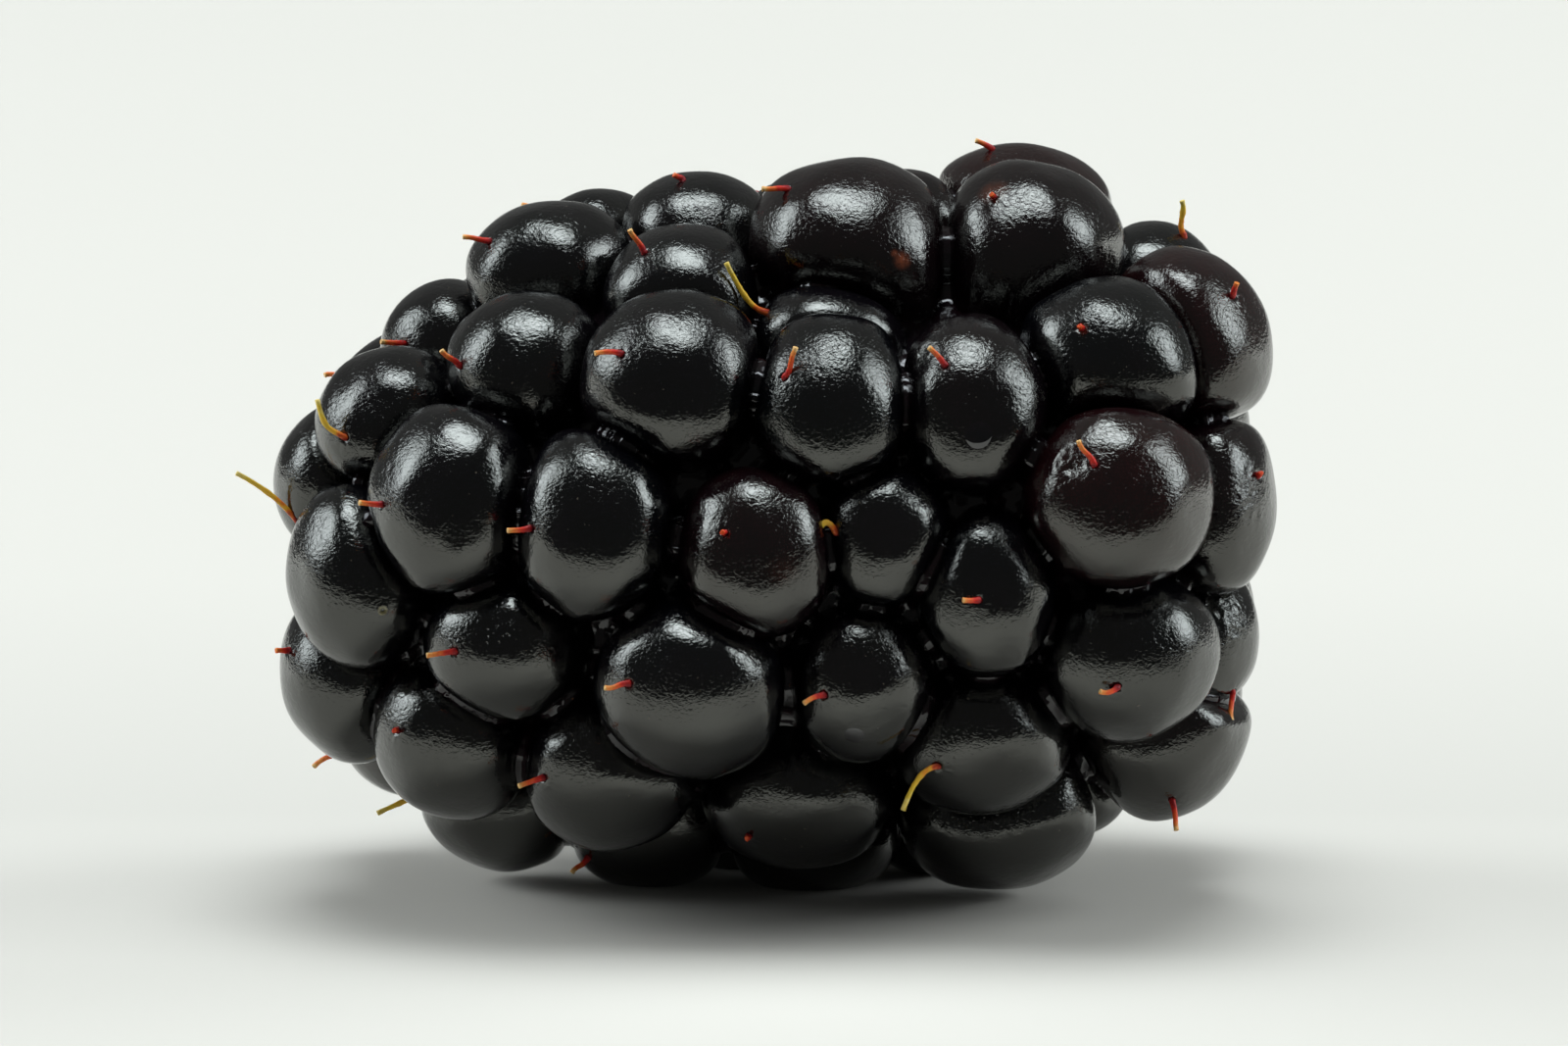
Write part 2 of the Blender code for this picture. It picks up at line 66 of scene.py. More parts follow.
# Drupelets in sight, in mm in the front view: where the middle is across and up from the berry's middle,
# how wide and tall it looks, and how far it stands out of the row
NEAR_DRUPELETS = {
    "crest_a": (-5.6, 6.5, 3.9, 3.3, 0.4),
    "crest_b": (-2.3, 5.7, 3.6, 3.5, -0.3),
    "crest_c": (1.9, 7.0, 4.9, 4.3, 0.1),
    "crest_d": (6.4, 7.0, 4.2, 4.2, 0.2),
    "crest_e": (10.4, 4.6, 3.8, 4.3, 0.6),
    "brow_a": (-8.4, 4.7, 2.8, 2.9, -0.5),
    "brow_b": (-6.2, 4.0, 3.7, 3.4, 0.1),
    "brow_c": (-2.5, 3.6, 4.3, 4.1, 0.4),
    "brow_d": (1.2, 4.4, 3.6, 3.2, -1.0),
    "brow_e": (1.4, 3.0, 3.7, 4.0, 0.3),
    "brow_f": (4.9, 2.9, 3.7, 4.1, 0.0),
    "brow_g": (8.5, 4.1, 4.2, 3.8, 0.3),
    "waist_a": (-9.8, 2.6, 3.4, 3.3, 0.5),
    "waist_b": (-11.2, 1.2, 2.9, 3.2, 0.0),
    "waist_c": (-8.1, 0.6, 3.7, 4.3, 0.9),
    "waist_d": (-4.5, 0.0, 3.8, 4.5, 0.2),
    "waist_e": (-0.5, -0.7, 3.6, 3.9, 0.1),
    "waist_f": (2.6, -0.25, 3.4, 3.7, -0.55),
    "waist_g": (8.6, 0.7, 4.2, 4.2, 0.8),
    "waist_h": (11.0, 0.6, 3.0, 4.5, 0.0),
    "belly_a": (-10.5, -1.2, 3.4, 4.4, 0.8),
    "belly_b": (-6.7, -3.0, 3.9, 3.6, -0.1),
    "belly_c": (-2.1, -4.0, 4.4, 4.3, 0.4),
    "belly_d": (2.1, -3.9, 3.3, 3.7, 0.0),
    "belly_e": (5.3, -1.7, 3.2, 4.1, -0.2),
    "belly_f": (8.8, -3.3, 4.1, 3.8, 0.6),
    "belly_g": (10.8, -3.0, 2.6, 3.4, -0.3),
    "foot_a": (-10.8, -3.9, 3.3, 3.8, 0.6),
    "foot_b": (-8.1, -5.4, 3.6, 3.8, 0.7),
    "foot_c": (-4.2, -6.1, 4.0, 3.9, 0.4),
    "foot_d": (0.6, -6.8, 4.4, 3.6, 0.2),
    "foot_e": (5.1, -5.3, 4.2, 3.7, 0.2),
    "foot_f": (9.7, -5.0, 4.2, 4.7, 0.2),
    "sole_c": (5.6, -7.2, 4.9, 3.9, 0.6),
}
# The same for those that show over the crest or under the belly, past the middle of the berry
BEYOND_DRUPELETS = {
    "rear_a": (-2.0, 7.2, 3.7, 3.4, 0.0),
    "rear_b": (3.4, 7.2, 3.4, 3.5, -0.3),
    "rear_c": (6.2, 8.0, 4.2, 3.3, 0.8),
    "rear_d": (9.7, 6.0, 3.2, 3.2, -0.1),
    "sole_a": (-6.9, -7.2, 3.6, 3.1, 0.8),
    "sole_b": (-3.2, -7.6, 4.2, 3.2, 0.3),
    "sole_d": (0.9, -7.8, 4.3, 3.1, 0.4),
    "sole_e": (7.4, -6.5, 2.9, 2.9, 0.2),
}
SEEN_NAMES = [*NEAR_DRUPELETS, *BEYOND_DRUPELETS]

# The dried styles of those drupelets, in mm in the front view: where the root is across and up from the
# drupelet's middle, how far across and up the tip lies from the root, and how far the style bows upwards
STYLES = {
    "crest_a": (-1.7, 0.7, -0.65, 0.1, 0.0),
    "crest_b": (-1.05, 1.2, -0.35, 0.55, 0.0),
    "crest_c": (-1.6, 1.5, -0.65, 0.0, 0.0),
    "crest_d": (-0.9, 1.3, -0.05, 0.05, 0.0),
    "crest_e": (1.15, 1.2, 0.1, 0.3, 0.0),
    "brow_a": (-1.1, -0.1, -0.55, 0.05, 0.0),
    "brow_b": (-1.8, 0.0, -0.45, 0.4, 0.0),
    "brow_c": (-1.4, 0.7, -0.65, 0.0, 0.05),
    "brow_d": (-1.5, 1.0, -1.0, 1.25, -0.25),
    "brow_e": (-1.2, 0.7, 0.3, 0.75, -0.05),
    "brow_f": (-0.65, 1.1, -0.4, 0.45, 0.0),
    "brow_g": (-0.8, 0.85, -0.05, 0.05, 0.0),
    "waist_a": (-1.1, -0.4, -0.7, 0.95, -0.25),
    "waist_b": (-0.9, -1.2, -1.6, 1.3, 0.15),
    "waist_c": (-1.85, -0.1, -0.55, 0.05, 0.0),
    "waist_d": (-1.7, -0.1, -0.55, -0.05, 0.0),
    "waist_e": (-0.8, 0.5, -0.05, 0.0, 0.0),
    "waist_f": (-1.1, 0.05, -0.5, -0.1, 0.3),
    "waist_g": (-0.6, 0.8, -0.4, 0.6, 0.0),
    "waist_h": (1.2, 0.65, 0.05, 0.05, 0.0),
    "belly_b": (-1.4, -0.2, -0.7, -0.1, 0.0),
    "belly_c": (-1.6, 0.0, -0.6, -0.1, 0.0),
    "belly_d": (-0.9, -0.4, -0.5, -0.2, 0.05),
    "belly_e": (-0.2, -0.2, -0.4, 0.0, 0.0),
    "belly_f": (-0.2, -0.8, -0.45, -0.1, -0.05),
    "belly_g": (0.9, -1.4, -0.05, -0.7, 0.0),
    "foot_a": (-1.6, 0.7, -0.3, 0.0, 0.0),
    "foot_b": (-1.5, 0.2, -0.05, 0.0, 0.0),
    "foot_c": (-1.7, -0.3, -0.6, -0.2, 0.0),
    "foot_d": (-1.3, -1.1, -0.05, -0.05, 0.0),
    "foot_e": (-1.0, -0.8, -0.9, -1.1, 0.3),
    "foot_f": (0.35, -2.0, 0.1, -0.75, 0.0),
    "sole_a": (-1.9, 0.05, -1.35, -0.2, 0.2),
    "sole_b": (-1.6, -0.9, -0.4, -0.35, 0.0),
    "rear_a": (-0.4, 1.6, -0.2, 0.1, 0.0),
    "rear_c": (-0.7, 1.6, -0.4, 0.2, 0.0),
    "rear_d": (0.7, 1.35, -0.05, 0.9, 0.0),
}
YELLOW_STYLES = {"brow_d", "waist_a", "waist_b", "waist_f", "foot_e", "sole_a", "rear_d"}
STYLE_TOWARD = 0.22 * MM  # how far a tip stands nearer the viewer than its root
STYLE_RADIUS = 0.072 * MM
STYLE_TIP_RADIUS = 0.06 * MM
PALE_TIP_LENGTH = 0.5 * MM  # a shorter style has no pale tip
STYLE_ROOT = 0.2 * MM  # in its drupelet
STYLE_SIDES = 12
STYLE_STEPS = 22
FAR_STYLE_LENGTHS = (0.4 * MM, 1.2 * MM)
FAR_ROOT_LEAN = 0.6
FAR_STYLE_LEAN = 1.6
FAR_STYLE_SPREAD = 0.3
FAR_STYLE_BOW = 0.2  # at most, for each part of its length
FAR_YELLOW_SHARE = 0.3
STYLE_SEED = 11

# The far side
FAR_COUNT = 35
FAR_SPACING = 3.75 * MM
FAR_FROM = -9.2 * MM
FAR_TO = 9.9 * MM
FAR_TURNS = (math.radians(115), math.radians(245))
FAR_SUNK = 0.15 * MM
FAR_DIAMETERS = (3.5 * MM, 4.3 * MM)
FAR_STRETCH = (0.92, 1.08)
FAR_SEED = 7
SPREAD_ROUNDS = 160
SPREAD_STEP = 0.35
NO_DISTANCE = 1e-9

# The drupelet that closes the tip, in mm in the front view: across, up and toward the viewer
TIP_MIDDLE = (-10.45, 0.0, -0.8)
TIP_HALF = 1.75 * MM

# How the drupelets press on each other
GIRTH = 1.065  # a drupelet is this much wider than the part of it that shows
SUNK = 0.4 * MM  # its middle lies this much deeper, under a flatter dome
CREASE_SHARPNESS = 7.0  # more is a flatter contact with a sharper rim
CONTACT_OVERLAP = 1.035  # neighbours run together at the middle of their contact
RIM = 0.97  # a mark stays within this share of the outline that its drupelet shows
TINY = 1e-6 * MM
CONTACT_REACH = 6 * MM  # drupelets whose middles are further apart don't touch
END_LEAN = 0.55  # how much the drupelets at the ends face along the berry

# The receptacle's end: how far along the berry's axis each ring is from the middle and its radius, in mm
RECEPTACLE_PROFILE = (
    (6.0, 2.0), (9.0, 2.9), (10.0, 3.2), (10.4, 3.15), (10.62, 2.95), (10.78, 2.6), (10.8, 2.3),
    (10.74, 1.9), (10.62, 1.5), (10.5, 1.1), (10.32, 0.75), (10.2, 0.4), (10.16, 0.1),
)
RECEPTACLE_ROOM = 2.3 * MM  # no drupelet's edge comes nearer to its middle
RECEPTACLE_SIDES = 96
RECEPTACLE_WAVES = 6
RECEPTACLE_RIPPLE = 0.018
RECEPTACLE_SWELL = 0.03 * MM
RECEPTACLE_SEED = 5

# How often the balls that become drupelets are split
NEAR_LEVEL = 7
FAR_LEVEL = 6

# The flesh inside, under the juice
CORE_SHRINK = 0.93
CORE_HALF = 9.7 * MM
CORE_SIDES = 48
CORE_RINGS = 32


def unit(vectors):
    """The same directions, with length 1."""
    return vectors / np.linalg.norm(vectors, axis=-1, keepdims=True)


def body_radius(station):
    """Distance from the berry's axis to the drupelets' middles, at stations along the axis."""
    blunt = np.where(station < 0, TIP_BLUNTNESS, STEM_BLUNTNESS)
    share = np.clip(np.abs(station) / BODY_HALF, 0, 1)
    return BODY_RADIUS * (1 - share**blunt) ** (1 / blunt)


def axis_up(across):
    """How high the berry's axis lies in the front view, from the berry's middle."""
    return across * math.tan(AXIS_RISE)


def from_front_view(across, up, toward):
    """A place in the front view, as a point in the row frame."""
    return across * RIGHT + up * UP + toward * TOWARD + MIDDLE


def seen_drupelets():
    """The middles and the half sizes of the drupelets that the front view shows."""
    middles = []
    halves = []
    for table, side in ((NEAR_DRUPELETS, 1), (BEYOND_DRUPELETS, -1)):
        for across, up, wide, tall, proud in table.values():
            reach = float(body_radius(across * MM)) + proud * MM
            rise = up * MM - axis_up(across * MM)
            toward = side * math.sqrt(max(reach**2 - rise**2, 0))
            middles.append(from_front_view(across * MM, up * MM, toward))
            deep = (wide + tall) / 2
            halves.append(np.array((wide, tall, deep)) * MM / 2 * GIRTH)
    return np.array(middles), np.array(halves)


def on_body(station, turn, sunk=0.0):
    """Points on the surface that the drupelets' middles lie on, or so far under it. Turn 0 faces the
    viewer, in radians."""
    radius = body_radius(station) - sunk
    toward = radius * np.cos(turn)
    up = radius * np.sin(turn) + axis_up(station)
    flat = np.stack((station, up, toward), axis=-1)
    return flat @ VIEW_AXES + MIDDLE


def station_and_turn(points):
    """The nearest place on that surface for each point."""
    local = (points - MIDDLE) @ VIEW_AXES.T
    station = np.clip(local[:, 0], FAR_FROM, FAR_TO)
    turn = np.arctan2(local[:, 1] - axis_up(local[:, 0]), local[:, 2])
    return station, turn


def stem_end():
    """The middle of the stem end, where the receptacle leaves no room for drupelets."""
    return from_front_view(BODY_HALF, axis_up(BODY_HALF), 0.0)


def far_drupelets(seen):
    """Spreads the drupelets that face away, pushed apart until they stand evenly."""
    rng = np.random.default_rng(FAR_SEED)
    station = rng.uniform(FAR_FROM, FAR_TO, FAR_COUNT)
    turn = rng.uniform(*FAR_TURNS, FAR_COUNT)
    points = on_body(station, turn)
    fixed = np.vstack((seen, stem_end()))
    room = np.full(len(fixed) + FAR_COUNT, FAR_SPACING)
    room[len(seen)] = RECEPTACLE_ROOM + FAR_SPACING / 2
    for _ in range(SPREAD_ROUNDS):
        everything = np.vstack((fixed, points))
        apart = points[:, None, :] - everything[None, :, :]
        distance = np.linalg.norm(apart, axis=2) + NO_DISTANCE
        push = np.clip(room[None, :] - distance, 0, None)
        push[distance < 2 * NO_DISTANCE] = 0
        pushed = (apart / distance[:, :, None] * push[:, :, None]).sum(axis=1)
        points = on_body(*station_and_turn(points + SPREAD_STEP * pushed))
    points = on_body(*station_and_turn(points), FAR_SUNK)
    diameters = rng.uniform(*FAR_DIAMETERS, FAR_COUNT)
    stretch = rng.uniform(*FAR_STRETCH, (FAR_COUNT, 3))
    return points, diameters[:, None] / 2 * stretch * GIRTH


class Crowd:
    """All the drupelets, and the shape that each takes among its neighbours."""

    def __init__(self):
        seen, seen_halves = seen_drupelets()
        far, far_halves = far_drupelets(seen)
        tip = from_front_view(*(value * MM for value in TIP_MIDDLE))
        self.middles = np.vstack((seen, far, tip))
        self.facing = np.array([self.outward(index) for index in range(len(self.middles))])
        self.middles = self.middles - self.facing * SUNK
        self.halves = np.vstack((seen_halves, far_halves, np.full(3, TIP_HALF))) + SUNK
        far_names = [f"far_{number:02d}" for number in range(FAR_COUNT)]
        self.names = [*SEEN_NAMES, *far_names, "tip"]

    def own_reach(self, index, directions):
        """How far a free drupelet would reach in each direction."""
        stretched = (directions @ VIEW_AXES.T) / self.halves[index]
        return 1 / np.linalg.norm(stretched, axis=1)

    def contacts(self, index):
        """Directions to the touching neighbours, and how far off each contact lies."""
        found = []
        for other, middle in enumerate(self.middles):
            gap = middle - self.middles[index]
            distance = float(np.linalg.norm(gap))
            if other == index or distance > CONTACT_REACH:
                continue
            direction = gap / distance
            mine = float(self.own_reach(index, direction[None])[0])
            theirs = float(self.own_reach(other, -direction[None])[0])
            if mine + theirs > distance:
                found.append((direction, distance * mine / (mine + theirs) * CONTACT_OVERLAP))
        return found

    def reach(self, index, directions):
        """How far the pressed drupelet reaches in each direction: a soft least of its own shape and of
        the planes where it meets its neighbours."""
        total = self.own_reach(index, directions) ** -CREASE_SHARPNESS
        for direction, offset in self.contacts(index):
            facing = np.clip(directions @ direction, 0, None)
            total = total + (facing / offset) ** CREASE_SHARPNESS
        return total ** (-1 / CREASE_SHARPNESS)

    def skin_point(self, index, across, up):
        """The point of the skin that the front view shows this far across and up from the drupelet."""
        spoke = self.facing[index] * SUNK + across * RIGHT + up * UP
        spoke = spoke - (spoke @ TOWARD) * TOWARD
        while np.linalg.norm(spoke) > RIM * self.reach_along(index, spoke):
            spoke = spoke * RIM
        inside, outside = 0.0, CONTACT_REACH
        while outside - inside > TINY:
            toward = (inside + outside) / 2
            place = spoke + toward * TOWARD
            if np.linalg.norm(place) < self.reach_along(index, place):
                inside = toward
            else:
                outside = toward
        return self.middles[index] + spoke + inside * TOWARD

    def reach_along(self, index, spoke):
        """How far the drupelet reaches along one spoke from its middle."""
        return float(self.reach(index, unit(spoke)[None])[0])

    def outward(self, index):
        """The direction that a drupelet faces, away from the berry's core."""
        across, up, toward = VIEW_AXES @ (self.middles[index] - MIDDLE)
        lean = END_LEAN * across * (abs(across) / BODY_HALF) ** 2
        return unit(np.array((lean, up - axis_up(across), toward)) @ VIEW_AXES)


def turn_from_z(direction):
    """A rotation matrix that takes +Z to the direction."""
    side = unit(np.cross((0.0, 1.0, 0.0), direction))
    return np.column_stack((side, np.cross(direction, side), direction))


def style_path(crowd, index, rng):
    """The root, the middle and the tip of a drupelet's style, or None where it has lost it."""
    name = crowd.names[index]
    if name.startswith("far"):
        return far_style_path(crowd, index, rng)
    if name not in STYLES:
        return None
    root_across, root_up, run_across, run_up, bow = (value * MM for value in STYLES[name])
    root = crowd.skin_point(index, root_across, root_up)
    tip = root + run_across * RIGHT + run_up * UP + STYLE_TOWARD * TOWARD
    return root, (root + tip) / 2 + bow * UP, tip


def far_style_path(crowd, index, rng):
    """The same for a drupelet on the far side."""
    out = unit(crowd.facing[index] - FAR_ROOT_LEAN * RIGHT)
    root = crowd.middles[index] + out * crowd.reach_along(index, out)
    run = out - FAR_STYLE_LEAN * RIGHT + rng.uniform(-FAR_STYLE_SPREAD, FAR_STYLE_SPREAD, 3)
    length = rng.uniform(*FAR_STYLE_LENGTHS)
    tip = root + unit(run) * length
    bow = rng.uniform(-FAR_STYLE_BOW, FAR_STYLE_BOW, 3) * length
    return root, (root + tip) / 2 + bow, tip


def placed(name, data):
    """A new object in the scene, of this mesh, light or camera."""
    made = bpy.data.objects.new(name, data)
    bpy.context.scene.collection.objects.link(made)
    return made


def set_looks(mesh, look, **attributes):
    """Gives a mesh its material, and stores a number for each point under each name."""
    mesh.materials.append(look)
    for name, values in attributes.items():
        attribute = mesh.attributes.new(name, "FLOAT", "POINT")
        attribute.data.foreach_set("value", np.asarray(values, dtype=np.float32))


def mesh_object(name, points, faces, look, **attributes):
    """A smooth mesh object."""
    mesh = bpy.data.meshes.new(name)
    mesh.from_pydata([tuple(point) for point in points], [], faces)
    mesh.shade_smooth()
    set_looks(mesh, look, **attributes)
    return placed(name, mesh)


def ring_faces(rings, sides, first=0):
    """The quads between rings of points, one ring after the other."""
    faces = []
    for ring in range(rings - 1):
        low = first + ring * sides
        high = low + sides
        for side in range(sides):
            after = (side + 1) % sides
            faces.append((low + side, high + side, high + after, low + after))
    return faces


def ball_template(level):
    """A fine ball, and the directions of its points."""
    ball = bmesh.new()
    bmesh.ops.create_icosphere(ball, subdivisions=level, radius=1.0)
    mesh = bpy.data.meshes.new(f"ball_{level}")
    ball.to_mesh(mesh)
    ball.free()
    mesh.shade_smooth()
    points = np.empty(len(mesh.vertices) * 3)
    mesh.vertices.foreach_get("co", points)
    return mesh, unit(points.reshape(-1, 3))


def window(distance, radius):
    """1 at the middle of a spot, falling smoothly to 0 at its radius."""
    share = np.clip(distance / radius, 0, 1)
    return (1 - share**2) ** 2


def random_wave(points, lengths, rng):
    """A wave that runs through the points in a random direction, and its length."""
    direction = unit(rng.normal(size=3))
    length = rng.uniform(*lengths)
    phase = rng.uniform(0, math.tau)
    return np.sin(points @ direction * (math.tau / length) + phase), length


LUMP_WAVES = 7
LUMP_LENGTHS = (1.0 * MM, 2.2 * MM)
LUMP_HEIGHT = 0.011 * MM


def lumps(points, rng):
    """Gentle swells of the skin over the seed inside."""
    total = np.zeros(len(points))
    for _ in range(LUMP_WAVES):
        wave, length = random_wave(points, LUMP_LENGTHS, rng)
        total = total + wave * length / LUMP_LENGTHS[1]
    return total * LUMP_HEIGHT


DIMPLE_RADIUS = 0.17 * MM
DIMPLE_DEPTH = 0.05 * MM
COLLAR_RADIUS = 0.4 * MM
COLLAR_HEIGHT = 0.008 * MM
PUCKER_HEIGHT = 0.003 * MM
PUCKER_REACH = 0.6 * COLLAR_RADIUS
PUCKER_COUNTS = (6, 10)
PUCKER_SHIFT = 6
MORE_PUCKERS = 3
SECOND_PUCKERS = 0.6


def dimple(points, root, facing, rng):
    """The skin drawn in round a style's root, with puckers that run out from it."""
    apart = points - root
    distance = np.linalg.norm(apart, axis=1)
    sunk = -DIMPLE_DEPTH * window(distance, DIMPLE_RADIUS)
    collar = COLLAR_HEIGHT * window(np.abs(distance - DIMPLE_RADIUS), COLLAR_RADIUS - DIMPLE_RADIUS)
    frame_turn = turn_from_z(facing)
    angle = np.arctan2(apart @ frame_turn[:, 0], apart @ frame_turn[:, 1])
    count = rng.integers(*PUCKER_COUNTS)
    pucker = np.cos(angle * count + rng.uniform(0, PUCKER_SHIFT))
    second = np.cos(angle * (count + MORE_PUCKERS) + rng.uniform(0, PUCKER_SHIFT))
    pucker = pucker + SECOND_PUCKERS * second
    span = window(np.abs(distance - PUCKER_REACH), PUCKER_REACH)
    return sunk + collar + pucker * PUCKER_HEIGHT * span


# Crumpled patches of skin on drupelets in sight, in mm: the drupelet, where the patch is across and up
# from its middle, its radius, its depth, and the height of its folds
CRUMPLES = (
    ("brow_f", -1.2, 1.3, 0.55, 0.096, 0.035),
    ("waist_g", -1.15, 0.87, 0.6, 0.096, 0.035),
    ("foot_a", 0.7, 1.0, 1.3, 0.072, 0.03),
    ("waist_a", -0.3, 0.3, 0.7, 0.03, 0.012),
    ("rear_a", 0.2, 0.5, 0.8, 0.036, 0.012),
    ("belly_g", 0.4, 0.9, 1.4, 0.048, 0.02),
    ("waist_h", 0.9, 0.2, 1.2, 0.036, 0.012),
    ("brow_e", -0.4, 1.0, 1.2, 0.03, 0.006),
)
FOLD_WAVES = 5
FOLD_LENGTHS = (0.35 * MM, 0.8 * MM)
FOLD_WIDTH = 1.4
WARP_LENGTH = 0.5 * MM
WARP = 1.6
ROOT_CRUMPLE = 0.3  # how crumpled the skin is round a style's root
ROOT_CRUMPLE_RADIUS = 0.9 * MM
SCAR_HEIGHT = 0.02 * MM
SCAR_STEEPNESS = 1.4
SCAR_TURN = 1.5 * math.pi  # a raised rim round a sunk middle
DRUPELET_SEED = 100


def folds(points, rng):
    """Irregular folds between -1 and 1."""
    total = np.zeros(len(points))
    for step in range(FOLD_WAVES):
        direction = unit(rng.normal(size=3))
        length = rng.uniform(*FOLD_LENGTHS)
        warp = WARP * np.sin(points @ rng.normal(size=3) / WARP_LENGTH + step)
        total = total + np.sin(points @ direction * (math.tau / length) + warp)
    return np.clip(1 - np.abs(total) / FOLD_WIDTH, -1, 1)


def drupelet(crowd, index, template, directions, root, materials):
    """One drupelet with its swells, its dimple and its crumpled skin."""
    rng = np.random.default_rng(DRUPELET_SEED + index)
    name = crowd.names[index]
    middle = crowd.middles[index]
    base = middle + directions * crowd.reach(index, directions)[:, None]
    rise = lumps(base, rng)
    crumpled = np.zeros(len(base))
    if root is not None:
        rise = rise + dimple(base, root, crowd.facing[index], rng)
        near_root = window(np.linalg.norm(base - root, axis=1), ROOT_CRUMPLE_RADIUS)
        crumpled = crumpled + ROOT_CRUMPLE * near_root
    for owner, across, up, radius, depth, height in CRUMPLES:
        if owner != name:
            continue
        spot = crowd.skin_point(index, across * MM, up * MM)
        share = window(np.linalg.norm(base - spot, axis=1), radius * MM)
        rise = rise + share * (height * folds(base, rng) - depth) * MM
        crumpled = np.maximum(crumpled, share)
    scar = marks_of(crowd, index, base, SCAR_MARKS)
    rise = rise + SCAR_HEIGHT * np.sin(SCAR_TURN * np.clip(scar * SCAR_STEEPNESS, 0, 1))
    points = base + directions * rise[:, None]
    points[:, 2] = np.maximum(points[:, 2], 0)
    mesh = template.copy()
    mesh.name = f"drupelet_{name}"
    mesh.vertices.foreach_set("co", points.ravel())
    mesh.update()
    set_looks(
        mesh,
        materials["skin"],
        crumpled=crumpled,
        rust=marks_of(crowd, index, base, RUST_MARKS),
        scar=scar,
        pitted=marks_of(crowd, index, base, PIT_BANDS),
        blush=blush_of(name, points, middle, rng),
        height=(points[:, 2] - middle[2]) / crowd.halves[index][1],
    )
    return placed(mesh.name, mesh)


# Drops of juice on drupelets in sight, in mm: the drupelet, where the drop is across and up from its
# middle, its radius and its height
DROPS = (
    ("brow_f", 0.2, -0.66, 0.40, 0.03),
    ("belly_d", -0.12, -1.42, 0.30, 0.025),
)
DROP_RINGS = 12
DROP_SIDES = 40
DROP_OVAL = 0.05
DROP_SAG = 0.12
DROP_FOOT = 0.02 * MM  # how deep its rim lies in the skin
DROP_FOOT_POWER = 6


def drop(crowd, row, number, materials):
    """A low drop that clings to a drupelet's skin."""
    name, across, up, radius, height = row
    index = crowd.names.index(name)
    middle = crowd.middles[index]
    spot = crowd.skin_point(index, across * MM, up * MM)
    turn = turn_from_z(unit(spot - middle))
    places = [spot]
    rises = [height * MM]
    for ring in range(1, DROP_RINGS + 1):
        share = ring / DROP_RINGS
        for side in range(DROP_SIDES):
            angle = math.tau * side / DROP_SIDES
            wide = radius * MM * share * (1 + DROP_OVAL * math.cos(2 * angle + number))
            places.append(spot + turn @ np.array((math.cos(angle) * wide, math.sin(angle) * wide, 0)))
            dome = height * MM * (1 - share**2) * (1 - DROP_SAG * math.sin(angle))
            rises.append(dome - DROP_FOOT * share**DROP_FOOT_POWER)
    directions = unit(np.array(places) - middle)
    base = middle + directions * crowd.reach(index, directions)[:, None]
    rise = lumps(base, np.random.default_rng(DRUPELET_SEED + index)) + np.array(rises)
    points = base + directions * rise[:, None]
    faces = [(0, 1 + side, 1 + (side + 1) % DROP_SIDES) for side in range(DROP_SIDES)]
    faces += ring_faces(DROP_RINGS, DROP_SIDES, 1)
    last = 1 + (DROP_RINGS - 1) * DROP_SIDES
    faces.append(tuple(range(last + DROP_SIDES - 1, last - 1, -1)))
    return mesh_object(f"drop_{name}", points, faces, materials["drop"])


# Marks on drupelets in sight, in mm: the drupelet, where the mark is across and up from its middle, its
# radius, and how strong it is
RUST_MARKS = (
    ("crest_c", 1.3, -0.32, 0.30, 1.0),
    ("crest_c", 1.1, -0.15, 0.14, 0.6),
    ("crest_d", -0.9, 1.45, 0.55, 0.25),
    ("brow_g", -0.8, 0.85, 0.2, 0.5),
    ("waist_e", 0.7, -0.5, 0.6, 0.06),
)
SCAR_MARKS = (
    ("belly_a", 0.57, -0.97, 0.17, 1.0),
)
PIT_BANDS = (
    ("sole_c", -1.3, -0.35, 0.7, 0.4),
    ("sole_c", -0.4, -0.25, 0.8, 0.5),
    ("sole_c", 0.5, 0.0, 0.7, 0.4),
    ("belly_b", -0.3, 0.4, 0.8, 0.5),
)


def marks_of(crowd, index, base, table):
    """How marked each point is, from one of these tables."""
    total = np.zeros(len(base))
    for owner, across, up, radius, strength in table:
        if owner != crowd.names[index]:
            continue
        spot = crowd.skin_point(index, across * MM, up * MM)
        distance = np.linalg.norm(base - spot, axis=1)
        total = np.maximum(total, strength * window(distance, radius * MM))
    return total


# How red the drupelets are that haven't turned black yet
BLUSHES = {
    "waist_g": 1.0, "crest_e": 0.9, "rear_c": 0.9, "crest_c": 0.35, "waist_e": 0.45, "waist_h": 0.35,
    "rear_b": 0.3, "crest_d": 0.25, "foot_f": 0.3, "brow_f": 0.15,
}
FAR_BLUSH_SHARE = 0.2
FAR_BLUSHES = (0.3, 0.9)
BLUSH_AT_MIDDLE = 0.75
BLUSH_RISE = 0.175  # more for each mm above a drupelet's middle


def blush_of(name, points, middle, rng):
    """How red each point of a drupelet is."""
    own = BLUSHES.get(name, 0.0)
    if name.startswith("far"):
        own = float(rng.random() < FAR_BLUSH_SHARE) * rng.uniform(*FAR_BLUSHES)
    height = (points[:, 2] - middle[2]) / MM
    return np.clip(own * (BLUSH_AT_MIDDLE + BLUSH_RISE * height), 0, 1)


